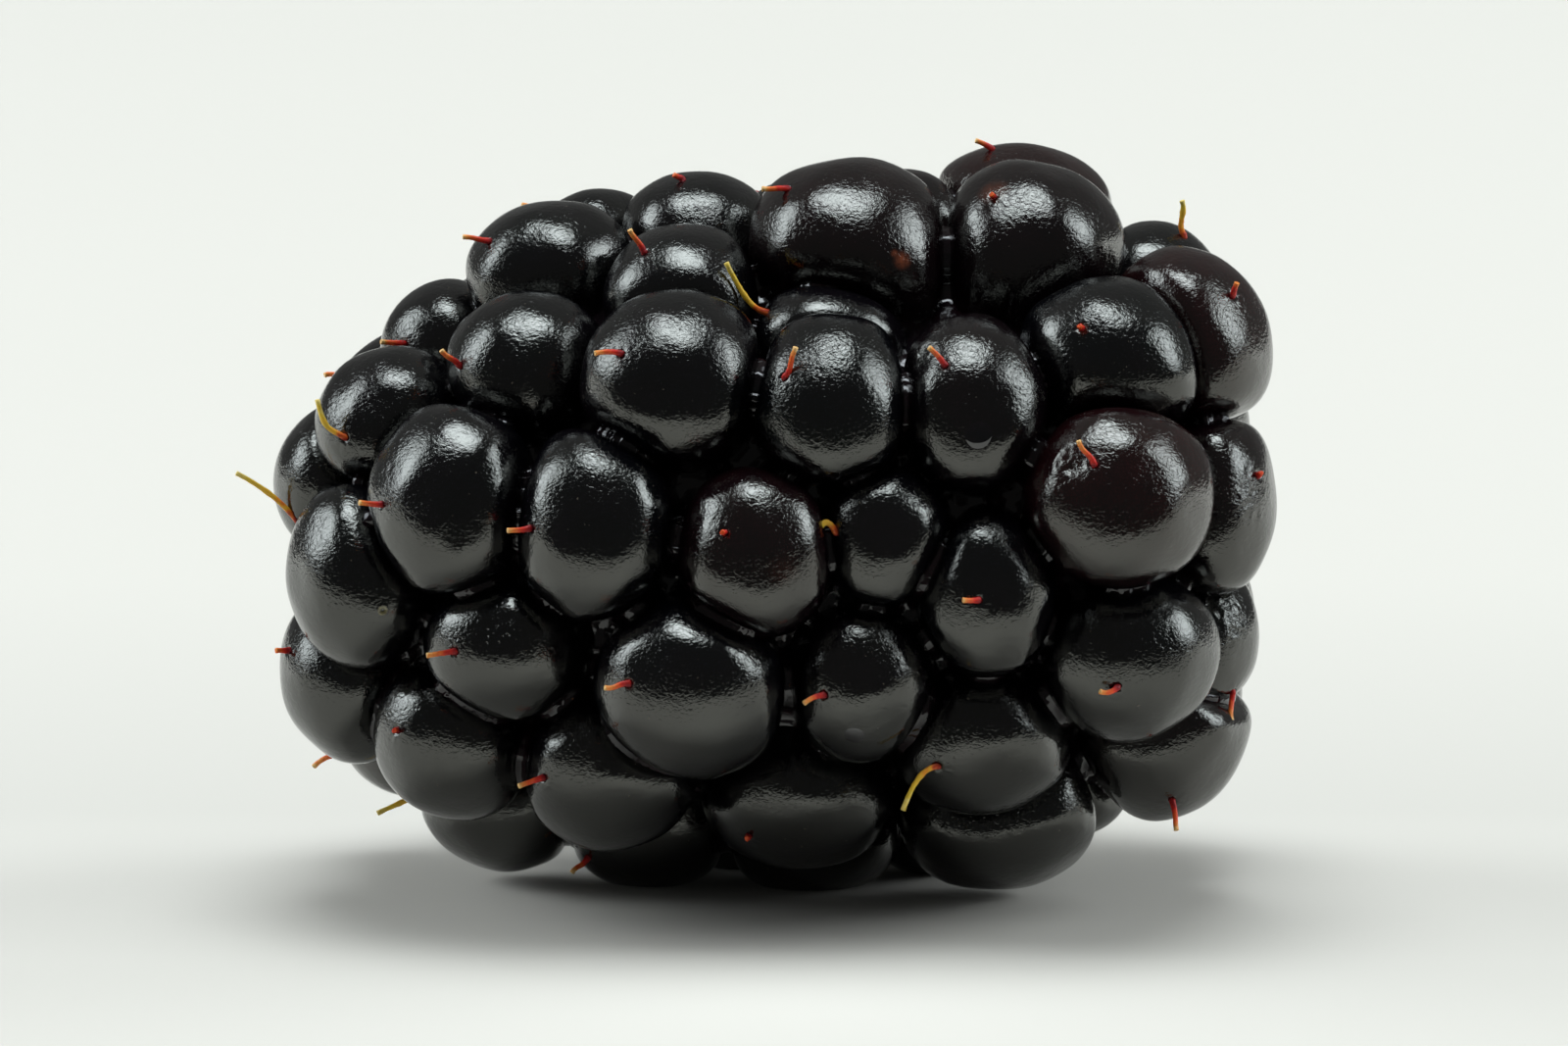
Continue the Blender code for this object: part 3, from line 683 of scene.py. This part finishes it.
STYLE_CROOK = 0.02  # of its length
CROOK_MOST = 0.02 * MM
KNOT_PLACES = (0.4, 0.7)
KNOT_SWELL = 0.22
KNOT_LENGTH = 0.1 * MM
ROOT_FLARE = 0.22
FLARE_LENGTH = 0.1 * MM
TIP_SWELL = 0.14
TIP_SWELL_LENGTH = 0.07 * MM
STYLE_FLATNESS = 0.82
STYLE_RIDGES = 3
RIDGE_TWIST = 4
RIDGE_HEIGHT = 0.07
STYLE_ROUGHNESS = 0.04
CUT_SHARE = 0.7  # of the tip's radius
CUT_RIM = 0.012 * MM
CUT_DEPTH = 0.01 * MM
CUT_RIM_ALONG = 1.08  # past the tip, where the colour is palest
CUT_MIDDLE_ALONG = 1.15
STYLE_FLOOR = 0.001 * MM


def style_radius(share, length, knot, yellow):
    """How thick a style is: flared at the root, swollen at the tip and, where yellow, at a knot."""
    radius = STYLE_RADIUS + (STYLE_TIP_RADIUS - STYLE_RADIUS) * share
    radius = radius * (1 + ROOT_FLARE * math.exp(-share * length / FLARE_LENGTH))
    radius = radius * (1 + TIP_SWELL * math.exp(-((share - 1) * length / TIP_SWELL_LENGTH) ** 2))
    return radius * (1 + KNOT_SWELL * yellow * math.exp(-((share - knot) * length / KNOT_LENGTH) ** 2))


def style(crowd, index, path, rng, materials):
    """A dried style: a thin, slightly crooked hair with a flared root and a cut tip."""
    root, middle, tip = path
    name = crowd.names[index]
    yellow = float(name in YELLOW_STYLES)
    if name.startswith("far"):
        yellow = float(rng.random() < FAR_YELLOW_SHARE)
    foot = root + unit(crowd.middles[index] - root) * STYLE_ROOT
    control = 2 * middle - (root + tip) / 2
    length = np.linalg.norm(tip - root)
    crook = rng.normal(size=(2, 3)) * min(length * STYLE_CROOK, CROOK_MOST)
    knot = rng.uniform(*KNOT_PLACES)
    centres = [foot]
    shares = [0.0]
    for step in range(STYLE_STEPS + 1):
        t = step / STYLE_STEPS
        bent = (1 - t) ** 2 * root + 2 * t * (1 - t) * control + t * t * tip
        bent = bent + crook[0] * math.sin(math.pi * t) + crook[1] * math.sin(math.tau * t)
        centres.append(bent)
        shares.append(t)
    points = []
    along = []
    for number, (centre, share) in enumerate(zip(centres, shares)):
        before = centres[max(number - 1, 0)]
        after = centres[min(number + 1, len(centres) - 1)]
        turn = turn_from_z(unit(after - before))
        radius = style_radius(share, length, knot, yellow)
        for side in range(STYLE_SIDES):
            angle = math.tau * side / STYLE_SIDES
            ridge = 1 + RIDGE_HEIGHT * math.cos(STYLE_RIDGES * angle + RIDGE_TWIST * share)
            ridge = ridge + STYLE_ROUGHNESS * rng.normal()
            flat = np.array((math.cos(angle), STYLE_FLATNESS * math.sin(angle), 0)) * radius * ridge
            points.append(centre + turn @ flat)
            along.append(share)
    faces = [(a, d, c, b) for a, b, c, d in ring_faces(len(centres), STYLE_SIDES)]
    last = (len(centres) - 1) * STYLE_SIDES
    end_in = len(points)
    direction = unit(centres[-1] - centres[-2])
    for side in range(STYLE_SIDES):
        spoke = points[last + side] - centres[-1]
        points.append(centres[-1] + spoke * CUT_SHARE + direction * CUT_RIM)
        along.append(CUT_RIM_ALONG)
    points.append(centres[-1] - direction * CUT_DEPTH)
    along.append(CUT_MIDDLE_ALONG)
    for side in range(STYLE_SIDES):
        after = (side + 1) % STYLE_SIDES
        faces.append((last + side, last + after, end_in + after, end_in + side))
        faces.append((end_in + side, end_in + after, len(points) - 1))
    points = np.array(points)
    points[:, 2] = np.maximum(points[:, 2], STYLE_FLOOR)
    along = np.array(along) * min(1.0, length / PALE_TIP_LENGTH)
    yellow = np.full(len(points), yellow)
    return mesh_object(f"style_{name}", points, faces, materials["style"], along=along, yellow=yellow)


def core_mesh():
    """The flesh inside, which every drupelet is rooted in."""
    core = bmesh.new()
    bmesh.ops.create_uvsphere(core, u_segments=CORE_SIDES, v_segments=CORE_RINGS, radius=1.0)
    for vertex in core.verts:
        x, y, z = vertex.co
        station = z * CORE_HALF
        round_axis = math.hypot(x, y)
        widen = 0.0
        if round_axis > TINY:
            widen = float(body_radius(station)) * CORE_SHRINK / round_axis
        vertex.co = from_front_view(station, x * widen + axis_up(station), y * widen)
    bmesh.ops.recalc_face_normals(core, faces=core.faces)
    mesh = bpy.data.meshes.new("core")
    core.to_mesh(mesh)
    core.free()
    return mesh


JUICE_VOXEL = 0.12 * MM
JUICE_LEVEL = 5
JUICE_ROUNDS = 30
JUICE_SMOOTHING = 0.5
JUICE_SUNK_LOW = 0.03 * MM
JUICE_SUNK_HIGH = 0.26 * MM
JUICE_RISES = (4.5 * MM, 11.5 * MM)
JUICE_UNEVEN = 0.35
JUICE_WAVES = 6
JUICE_WAVE_LENGTHS = (1.5 * MM, 4.0 * MM)
JUICE_SEED = 23
SKIN_DEPTH = 0.05 * MM
UNDER_SKIN = 0.2 * MM  # how much deeper the film's hidden parts lie
BALL_REACH = 3.5 * MM


def apply_modifiers(target):
    """Makes the shape that the modifiers give the object's own mesh, and drops them."""
    graph = bpy.context.evaluated_depsgraph_get()
    shaped = bpy.data.meshes.new_from_object(target.evaluated_get(graph))
    target.modifiers.clear()
    target.data = shaped


def points_and_normals(mesh):
    """The places and the normals of the mesh's points."""
    points = np.empty(len(mesh.vertices) * 3)
    mesh.vertices.foreach_get("co", points)
    normals = np.empty(len(mesh.vertices) * 3)
    mesh.vertex_normals.foreach_get("vector", normals)
    return points.reshape(-1, 3), normals.reshape(-1, 3)


def film_depth(points):
    """How deep the film lies at each point: more juice stands low on the berry."""
    rng = np.random.default_rng(JUICE_SEED)
    uneven = np.zeros(len(points))
    for _ in range(JUICE_WAVES):
        uneven = uneven + random_wave(points, JUICE_WAVE_LENGTHS, rng)[0] / math.sqrt(JUICE_WAVES)
    share = np.clip((points[:, 2] - JUICE_RISES[0]) / (JUICE_RISES[1] - JUICE_RISES[0]), 0, 1)
    depth = JUICE_SUNK_LOW + (JUICE_SUNK_HIGH - JUICE_SUNK_LOW) * share
    return depth * (1 + JUICE_UNEVEN * np.clip(uneven, -1, 1))


def over_skin(crowd, points):
    """How far each point lies outside the nearest drupelet's skin."""
    least = np.full(len(points), BALL_REACH)
    for index, middle in enumerate(crowd.middles):
        spokes = points - middle
        lengths = np.linalg.norm(spokes, axis=1)
        near = lengths < BALL_REACH
        reach = crowd.reach(index, spokes[near] / lengths[near][:, None])
        least[near] = np.minimum(least[near], lengths[near] - reach)
    return least


def juice(crowd, materials):
    """The film of juice that stands in the furrows: the crowd's own surface, smoothed until it fills
    them, and drawn under the domes."""
    template, directions = ball_template(JUICE_LEVEL)
    merged = bmesh.new()
    for index in range(len(crowd.names)):
        mesh = template.copy()
        points = crowd.middles[index] + directions * crowd.reach(index, directions)[:, None]
        mesh.vertices.foreach_set("co", points.ravel())
        merged.from_mesh(mesh)
        bpy.data.meshes.remove(mesh)
    core = core_mesh()
    merged.from_mesh(core)
    bpy.data.meshes.remove(core)
    mesh = bpy.data.meshes.new("juice")
    merged.to_mesh(mesh)
    merged.free()
    made = placed("juice", mesh)
    remesh = made.modifiers.new("Remesh", "REMESH")
    remesh.mode = "VOXEL"
    remesh.voxel_size = JUICE_VOXEL
    smooth = made.modifiers.new("Smooth", "SMOOTH")
    smooth.factor = JUICE_SMOOTHING
    smooth.iterations = JUICE_ROUNDS
    apply_modifiers(made)
    points, normals = points_and_normals(made.data)
    points = points - normals * film_depth(points)[:, None]
    hidden = np.clip(-over_skin(crowd, points) / SKIN_DEPTH, 0, 1)
    points = points - normals * (hidden * UNDER_SKIN)[:, None]
    points[:, 2] = np.maximum(points[:, 2], 0)
    made.data.vertices.foreach_set("co", points.ravel())
    made.data.shade_smooth()
    made.data.materials.clear()
    made.data.materials.append(materials["juice"])
    return made


def receptacle_end(materials):
    """The pale end of the receptacle, where the calyx broke off."""
    along = math.cos(AXIS_RISE) * RIGHT + math.sin(AXIS_RISE) * UP
    side = np.cross(along, TOWARD)
    start = from_front_view(0.0, 0.0, 0.0)
    rng = np.random.default_rng(RECEPTACLE_SEED)
    waves = rng.uniform(0, math.tau, RECEPTACLE_WAVES)
    points = []
    depth = []
    for number, (station, radius) in enumerate(RECEPTACLE_PROFILE):
        share = number / (len(RECEPTACLE_PROFILE) - 1)
        for step in range(RECEPTACLE_SIDES):
            angle = math.tau * step / RECEPTACLE_SIDES
            ripple = sum(math.cos((k + 2) * 3 * angle + wave) / (k + 1) for k, wave in enumerate(waves))
            spoke = math.cos(angle) * side + math.sin(angle) * TOWARD
            wide = radius * MM * (1 + RECEPTACLE_RIPPLE * ripple)
            high = station * MM + RECEPTACLE_SWELL * ripple * math.sin(math.pi * share)
            points.append(start + high * along + wide * spoke)
            depth.append(share)
    faces = ring_faces(len(RECEPTACLE_PROFILE), RECEPTACLE_SIDES)
    last = (len(RECEPTACLE_PROFILE) - 1) * RECEPTACLE_SIDES
    faces.append(tuple(range(last, last + RECEPTACLE_SIDES)))
    return mesh_object("receptacle_end", points, faces, materials["flesh"], depth=depth)


class Nodes:
    """A short way to write a node tree."""

    def __init__(self, tree):
        self.tree = tree
        tree.nodes.clear()

    def add(self, kind, settings=None, **inputs):
        """A node with its settings, values and links. Inputs go by name, or by number as in i0."""
        node = self.tree.nodes.new(kind)
        for key, value in (settings or {}).items():
            setattr(node, key, value)
        for key, value in inputs.items():
            numbered = key[0] == "i" and key[1:].isdigit()
            socket = node.inputs[int(key[1:]) if numbered else key.replace("_", " ")]
            if isinstance(value, bpy.types.NodeSocket):
                self.tree.links.new(value, socket)
            else:
                socket.default_value = value
        return node

    def math(self, operation, first, second=0.0, third=0.0):
        node = self.add("ShaderNodeMath", {"operation": operation}, i0=first, i1=second, i2=third)
        return node.outputs[0]

    def mix(self, share, first, second):
        node = self.add("ShaderNodeMix", {"data_type": "RGBA"}, i0=share, i6=first, i7=second)
        return node.outputs[2]

    def mix_value(self, share, first, second):
        node = self.add("ShaderNodeMix", {"data_type": "FLOAT"}, i0=share, i2=first, i3=second)
        return node.outputs[0]

    def remap(self, value, low, high, new_low=0.0, new_high=1.0):
        node = self.add("ShaderNodeMapRange", i0=value, i1=low, i2=high, i3=new_low, i4=new_high)
        return node.outputs[0]

    def attribute(self, name):
        return self.add("ShaderNodeAttribute", {"attribute_name": name}).outputs["Fac"]

    def place_mm(self, stretch=(1, 1, 1)):
        """Object coordinates in millimetres."""
        found = self.add("ShaderNodeTexCoord").outputs["Object"]
        scale = tuple(value / MM for value in stretch)
        return self.add("ShaderNodeVectorMath", {"operation": "MULTIPLY"}, i0=found, i1=scale).outputs[0]

    def noise(self, scale, detail=2.0, roughness=0.5, distortion=0.0, stretch=(1, 1, 1)):
        node = self.add("ShaderNodeTexNoise", Vector=self.place_mm(stretch), Scale=scale, Detail=detail,
                        Roughness=roughness, Distortion=distortion)
        return node.outputs["Fac"]

    def bump(self, height, distance, **normal):
        """Relief, over another one's Normal if it is given."""
        node = self.add("ShaderNodeBump", Height=height, Distance=distance, Strength=1.0, **normal)
        return node.outputs[0]

    def ramp(self, share, stops):
        """A colour that follows the stops, which are positions with colours."""
        node = self.add("ShaderNodeValToRGB", Fac=share)
        elements = node.color_ramp.elements
        while len(elements) > 1:
            elements.remove(elements[-1])
        elements[0].position = stops[0][0]
        elements[0].color = (*stops[0][1], 1)
        for position, colour in stops[1:]:
            elements.new(position).color = (*colour, 1)
        return node.outputs[0]

    def surface(self, **inputs):
        """The material's shader and its output."""
        shader = self.add("ShaderNodeBsdfPrincipled", **inputs)
        self.add("ShaderNodeOutputMaterial", Surface=shader.outputs[0])


def material(name):
    made = bpy.data.materials.new(name)
    made.use_nodes = True
    return made, Nodes(made.node_tree)


BLUE_BLACK = (0.0012, 0.0014, 0.0022, 1)
WINE_BLACK = (0.0030, 0.0020, 0.0030, 1)
RED_SKIN = (0.014, 0.0025, 0.003, 1)
RUST = (0.28, 0.07, 0.03, 1)
SCAR = (0.30, 0.26, 0.12, 1)
SPECK = (0.20, 0.17, 0.13, 1)
SKIN_SHINE = (1.0, 1.0, 0.93, 1.0)
GRAIN_STRETCH = (1.0, 1.0, 1.4)


def skin_material():
    """Glossy black skin with a blue cast, red where it is less ripe, and finely wrinkled."""
    made, nodes = material("drupelet_skin")
    crumpled = nodes.attribute("crumpled")
    cloud = nodes.remap(nodes.noise(0.55, 3.0), 0.35, 0.7)
    black = nodes.mix(cloud, BLUE_BLACK, WINE_BLACK)
    patch = nodes.noise(1.4, 4.0, 0.6)
    red_share = nodes.math("MULTIPLY", nodes.attribute("blush"), nodes.remap(patch, 0.3, 0.7, 0.45, 1.0))
    coloured = nodes.mix(red_share, black, RED_SKIN)
    mottle = nodes.remap(nodes.noise(5.0, 3.0, 0.7), 0.3, 0.6, 0.3, 1.0)
    rusty_share = nodes.math("MULTIPLY", nodes.attribute("rust"), mottle)
    rusty = nodes.mix(rusty_share, coloured, RUST)
    scar = nodes.attribute("scar")
    ring = nodes.math("MULTIPLY", nodes.remap(scar, 0.1, 0.4), nodes.remap(scar, 0.95, 0.7))
    scarred = nodes.mix(nodes.math("MULTIPLY", ring, mottle), rusty, SCAR)
    speck = nodes.noise(9.0, 1.0)
    speckled = nodes.mix(nodes.remap(speck, 0.76, 0.82, 0.0, 0.4), scarred, SPECK)
    wear = nodes.noise(3.5, 4.0, 0.6)
    rough = nodes.remap(wear, 0.3, 0.7, 0.085, 0.135)
    rough = nodes.math("ADD", rough, nodes.math("MULTIPLY", crumpled, 0.04))
    relief = nodes.bump(nodes.noise(1.6, 2.0), 0.02 * MM)
    relief = nodes.bump(nodes.noise(4.6, 2.0, 0.6, 0.4), 0.008 * MM, Normal=relief)
    fine = nodes.noise(8.5, 2.0, 0.6, 0.6, GRAIN_STRETCH)
    drawn = nodes.remap(nodes.noise(0.9, 2.0), 0.35, 0.65, 0.45, 1.3)
    upper = nodes.remap(nodes.attribute("height"), -0.6, 0.1, 0.35, 1.0)
    drawn = nodes.math("MULTIPLY", drawn, upper)
    grain = nodes.math("MULTIPLY", fine, nodes.math("ADD", drawn, crumpled))
    relief = nodes.bump(grain, 0.0165 * MM, Normal=relief)
    pits = nodes.remap(speck, 0.64, 0.74, 0.0, -1.0)
    pits = nodes.math("MULTIPLY", pits, nodes.remap(nodes.attribute("pitted"), 0.0, 0.3))
    relief = nodes.bump(pits, 0.016 * MM, Normal=relief)
    nodes.surface(Base_Color=speckled, Roughness=rough, Normal=relief, IOR=1.5, Specular_IOR_Level=1.0,
                  Specular_Tint=SKIN_SHINE)
    return made


FILM_COLOURS = ((0.003, 0.003, 0.004, 1), (0.012, 0.004, 0.006, 1))
DROP_COLOURS = ((0.002, 0.002, 0.003, 1), (0.006, 0.003, 0.004, 1))


def juice_material(name, colours, stain, wave, height, **shine):
    """Dark juice, smooth and wet."""
    made, nodes = material(name)
    colour = nodes.mix(nodes.remap(nodes.noise(*stain), 0.3, 0.7), *colours)
    ripple = nodes.bump(nodes.noise(wave, 1.0), height)
    nodes.surface(Base_Color=colour, Normal=ripple, **shine)
    return made


RED_STYLE = (
    (0.0, (0.30, 0.006, 0.010)), (0.3, (0.75, 0.025, 0.012)), (0.6, (0.90, 0.13, 0.02)),
    (0.9, (0.95, 0.33, 0.06)), (1.0, (0.95, 0.58, 0.22)),
)
YELLOW_STYLE = (
    (0.0, (0.45, 0.03, 0.012)), (0.18, (0.85, 0.18, 0.015)), (0.4, (0.90, 0.48, 0.03)),
    (0.85, (0.80, 0.55, 0.04)), (1.0, (0.85, 0.65, 0.18)),
)


def style_material():
    """Dried style: crimson at the root, orange to the tip, and straw yellow on the long ones."""
    made, nodes = material("style")
    along = nodes.attribute("along")
    yellow = nodes.attribute("yellow")
    patchy = nodes.math("ADD", along, nodes.remap(nodes.noise(6.0, 3.0), 0.3, 0.7, -0.16, 0.16))
    colour = nodes.mix(yellow, nodes.ramp(patchy, RED_STYLE), nodes.ramp(patchy, YELLOW_STYLE))
    ribs = nodes.bump(nodes.noise(14.0, 3.0, 0.7), 0.012 * MM)
    nodes.surface(Base_Color=colour, Roughness=0.42, Normal=ribs, IOR=1.45)
    return made


FLESH = (
    (0.0, (0.10, 0.012, 0.02)), (0.2, (0.30, 0.12, 0.09)), (0.42, (0.55, 0.50, 0.28)),
    (0.7, (0.70, 0.66, 0.46)), (1.0, (0.32, 0.24, 0.12)),
)


def flesh_material():
    """Pale, damp flesh of the receptacle, greener at its rim and stained in the middle."""
    made, nodes = material("receptacle_flesh")
    depth = nodes.attribute("depth")
    fibre = nodes.noise(2.5, 5.0, 0.7)
    moved = nodes.math("ADD", depth, nodes.remap(fibre, 0.3, 0.7, -0.12, 0.12))
    relief = nodes.bump(nodes.noise(5.0, 4.0, 0.7), 0.06 * MM)
    nodes.surface(Base_Color=nodes.ramp(moved, FLESH), Roughness=0.5, Normal=relief)
    return made


# Painted light and shade on the floor, by depth: the card is lighter in front of the berry, where its
# shadow falls, darkest under the berry's back half, and dimmer again further back
PAINTED_LIGHT_SPAN = (-25.0, 200.0)  # in mm, from the front to the back
CARD_PAINTED_LIGHT = (
    (0.0, (0.440, 0.435, 0.416)), (0.06, (0.490, 0.485, 0.465)), (0.15, (0.375, 0.371, 0.356)),
    (0.3, (0.410, 0.405, 0.388)), (1.0, (0.370, 0.366, 0.351)),
)
CARD_STAIN = (0.60, 0.60, 0.58, 1)


def stage_material():
    """Matt pale card, with painted light and shade by depth: lighter in front of the berry, where its
    shadow falls, and darker under and behind it.
    """
    made, nodes = material("pale_card_painted_light")
    depth = nodes.add("ShaderNodeSeparateXYZ", i0=nodes.place_mm()).outputs[1]
    tone = nodes.remap(nodes.noise(0.01, 2.0), 0.3, 0.7, 0.0, 0.03)
    # The painted light and shade by depth, with a faint random stain over it
    colour = nodes.mix(tone, nodes.ramp(nodes.remap(depth, *PAINTED_LIGHT_SPAN), CARD_PAINTED_LIGHT), CARD_STAIN)
    nodes.surface(Base_Color=colour, Roughness=0.7)
    return made


FLOOR_FRONT = -0.026
FLOOR_SIDE = 0.6
SWEEP_START = 0.75
SWEEP_RADIUS = 0.12
SWEEP_TOP = 0.5
SWEEP_STEPS = 16


def strip(name, profile, card):
    """A strip as wide as the stage along a line of (y, z) places."""
    points = []
    for y, z in profile:
        points += [(-FLOOR_SIDE, y, z), (FLOOR_SIDE, y, z)]
    faces = [(2 * k, 2 * k + 1, 2 * k + 3, 2 * k + 2) for k in range(len(profile) - 1)]
    return mesh_object(name, points, faces, card)


def add_stage(card):
    """A pale floor that curves up into a backdrop, and an apron in front of it. The drupelets mirror
    the floor alone."""
    curve = [(SWEEP_START, 0.0)]
    for step in range(1, SWEEP_STEPS + 1):
        angle = math.pi / 2 * step / SWEEP_STEPS
        curve.append((SWEEP_START + SWEEP_RADIUS * math.sin(angle), SWEEP_RADIUS * (1 - math.cos(angle))))
    curve.append((SWEEP_START + SWEEP_RADIUS, SWEEP_TOP))
    floor = strip("floor", [(FLOOR_FRONT, 0.0), (SWEEP_START, 0.0)], card)
    backdrop = strip("backdrop", curve, card)
    backdrop.visible_glossy = False
    apron = strip("apron", [(-FLOOR_SIDE, 0.0), (FLOOR_FRONT, 0.0)], card)
    apron.visible_glossy = False
    apron.visible_diffuse = False
    card_pieces = (floor, backdrop, apron)
    return card_pieces


BERRY_SOFTBOXES = (
    ("left", (-0.34, 0.02, 0.20), (0.26, 0.34), 0.75),
    ("top", (-0.01, -0.04, 0.40), (0.34, 0.23), 1.0),
    ("right", (0.35, -0.04, 0.19), (0.24, 0.34), 0.7),
)
CARD_SOFTBOXES = (
    ("card_left", (-0.70, 0.33, 0.27), (0.60, 0.60), 10.2),
    ("card_top", (0.0, 0.13, 0.44), (0.34, 0.30), 2.3),
    ("card_right", (0.70, 0.33, 0.27), (0.60, 0.60), 10.2),
)
BELL_PEAK = 2.25  # keeps a softbox's power when its light falls off to the edges
BERRY_LIGHT = (0.90, 0.99, 1.05)
CARD_LIGHT = (0.925, 0.965, 0.955)
LIGHT_TARGET = Vector((0, 0, 0.009))
WALLS = (0.12, 0.44)  # how bright they are behind the camera, and behind the berry
MIRRORED_WALLS = (0.05, 0.15)
SEEN_WALLS = 0.85
WALL_COLOUR = (0.97, 1.0, 0.97, 1)


def add_softbox(name, place, size, power, colour, lit):
    """A softbox, bright in its middle and dim at its edges, that lights one group of objects."""
    light = bpy.data.lights.new(f"softbox_{name}", "AREA")
    light.shape = "RECTANGLE"
    light.size, light.size_y = size
    light.energy = power
    light.color = colour
    light.use_nodes = True
    nodes = Nodes(light.node_tree)
    spot = nodes.add("ShaderNodeNewGeometry").outputs["Parametric"]
    split = nodes.add("ShaderNodeSeparateXYZ", i0=spot)
    strength = BELL_PEAK
    for axis in (0, 1):
        aside = nodes.math("MULTIPLY_ADD", split.outputs[axis], 2.0, -1.0)
        bell = nodes.math("SUBTRACT", 1.0, nodes.math("MULTIPLY", aside, aside))
        strength = nodes.math("MULTIPLY", strength, bell)
    glow = nodes.add("ShaderNodeEmission", Strength=strength)
    nodes.add("ShaderNodeOutputLight", Surface=glow.outputs[0])
    lamp = placed(light.name, light)
    lamp.location = place
    lamp.rotation_mode = "QUATERNION"
    lamp.rotation_quaternion = (LIGHT_TARGET - Vector(place)).to_track_quat("-Z", "Y")
    lamp.light_linking.receiver_collection = lit


def light_group(name, members):
    """A collection of the objects that some softboxes light."""
    group = bpy.data.collections.new(name)
    for member in members:
        group.objects.link(member)
    return group


def add_lights(pieces, card_pieces):
    """Three softboxes for the berry, three for the card, and soft light from pale walls all round."""
    berry = light_group("lit_berry", pieces)
    card = light_group("lit_card", card_pieces)
    for row in BERRY_SOFTBOXES:
        add_softbox(*row, BERRY_LIGHT, berry)
    for row in CARD_SOFTBOXES:
        add_softbox(*row, CARD_LIGHT, card)
    world = bpy.data.worlds.new("studio")
    bpy.context.scene.world = world
    world.use_nodes = True
    nodes = Nodes(world.node_tree)
    direction = nodes.add("ShaderNodeTexCoord").outputs["Generated"]
    split = nodes.add("ShaderNodeSeparateXYZ", i0=direction)
    back = nodes.remap(split.outputs[1], -0.25, 0.2)
    ray = nodes.add("ShaderNodeLightPath").outputs
    strength = nodes.mix_value(back, *WALLS)
    strength = nodes.mix_value(ray["Is Glossy Ray"], strength, nodes.mix_value(back, *MIRRORED_WALLS))
    strength = nodes.mix_value(ray["Is Camera Ray"], strength, SEEN_WALLS)
    shader = nodes.add("ShaderNodeBackground", Color=WALL_COLOUR, Strength=strength)
    nodes.add("ShaderNodeOutputWorld", Surface=shader.outputs[0])


PIXEL = MM / 40  # of the photo, at the berry
PHOTO_CENTRE = (800, 533.5)
MIDDLE_PIXEL = (792, 535)  # where the photo shows the berry's middle
CAMERA_DISTANCE = 0.6
SENSOR = 36.0


def add_camera():
    """A long lens at the photo's angle."""
    camera = bpy.data.cameras.new("camera")
    camera.sensor_width = SENSOR
    camera.lens = SENSOR * CAMERA_DISTANCE / (2 * PHOTO_CENTRE[0] * PIXEL)
    camera.clip_start = 0.01
    camera.clip_end = 10.0
    made = placed("camera", camera)
    across = (PHOTO_CENTRE[0] - MIDDLE_PIXEL[0]) * PIXEL
    down = (PHOTO_CENTRE[1] - MIDDLE_PIXEL[1]) * PIXEL
    made.location = MIDDLE + across * RIGHT - down * UP + CAMERA_DISTANCE * TOWARD
    made.rotation_mode = "QUATERNION"
    made.rotation_quaternion = Vector(-TOWARD).to_track_quat("-Z", "Y")
    bpy.context.scene.camera = made


def build():
    materials = {
        "skin": skin_material(),
        "juice": juice_material("juice", FILM_COLOURS, (0.8, 3.0), 1.2, 0.03 * MM,
                                Roughness=0.09, IOR=1.45, Specular_IOR_Level=0.7),
        "drop": juice_material("juice_drop", DROP_COLOURS, (2.0, 2.0), 3.0, 0.004 * MM,
                               Roughness=0.05, IOR=1.5, Specular_IOR_Level=1.0),
        "style": style_material(),
        "flesh": flesh_material(),
    }
    crowd = Crowd()
    rng = np.random.default_rng(STYLE_SEED)
    paths = [style_path(crowd, index, rng) for index in range(len(crowd.names))]
    near_ball = ball_template(NEAR_LEVEL)
    far_ball = ball_template(FAR_LEVEL)
    pieces = []
    for index, path in enumerate(paths):
        template, directions = near_ball if index < len(NEAR_DRUPELETS) else far_ball
        root = path[0] if path else None
        pieces.append(drupelet(crowd, index, template, directions, root, materials))
    hair_rng = np.random.default_rng(STYLE_SEED + 1)
    for index, path in enumerate(paths):
        if path:
            pieces.append(style(crowd, index, path, hair_rng, materials))
    for number, row in enumerate(DROPS):
        pieces.append(drop(crowd, row, number, materials))
    pieces.append(juice(crowd, materials))
    pieces.append(receptacle_end(materials))
    for piece in pieces:
        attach(piece, "root")
        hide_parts("berry")
    add_lights(pieces, add_stage(stage_material()))
    add_camera()
    bpy.context.scene.view_settings.view_transform = "Standard"


build()
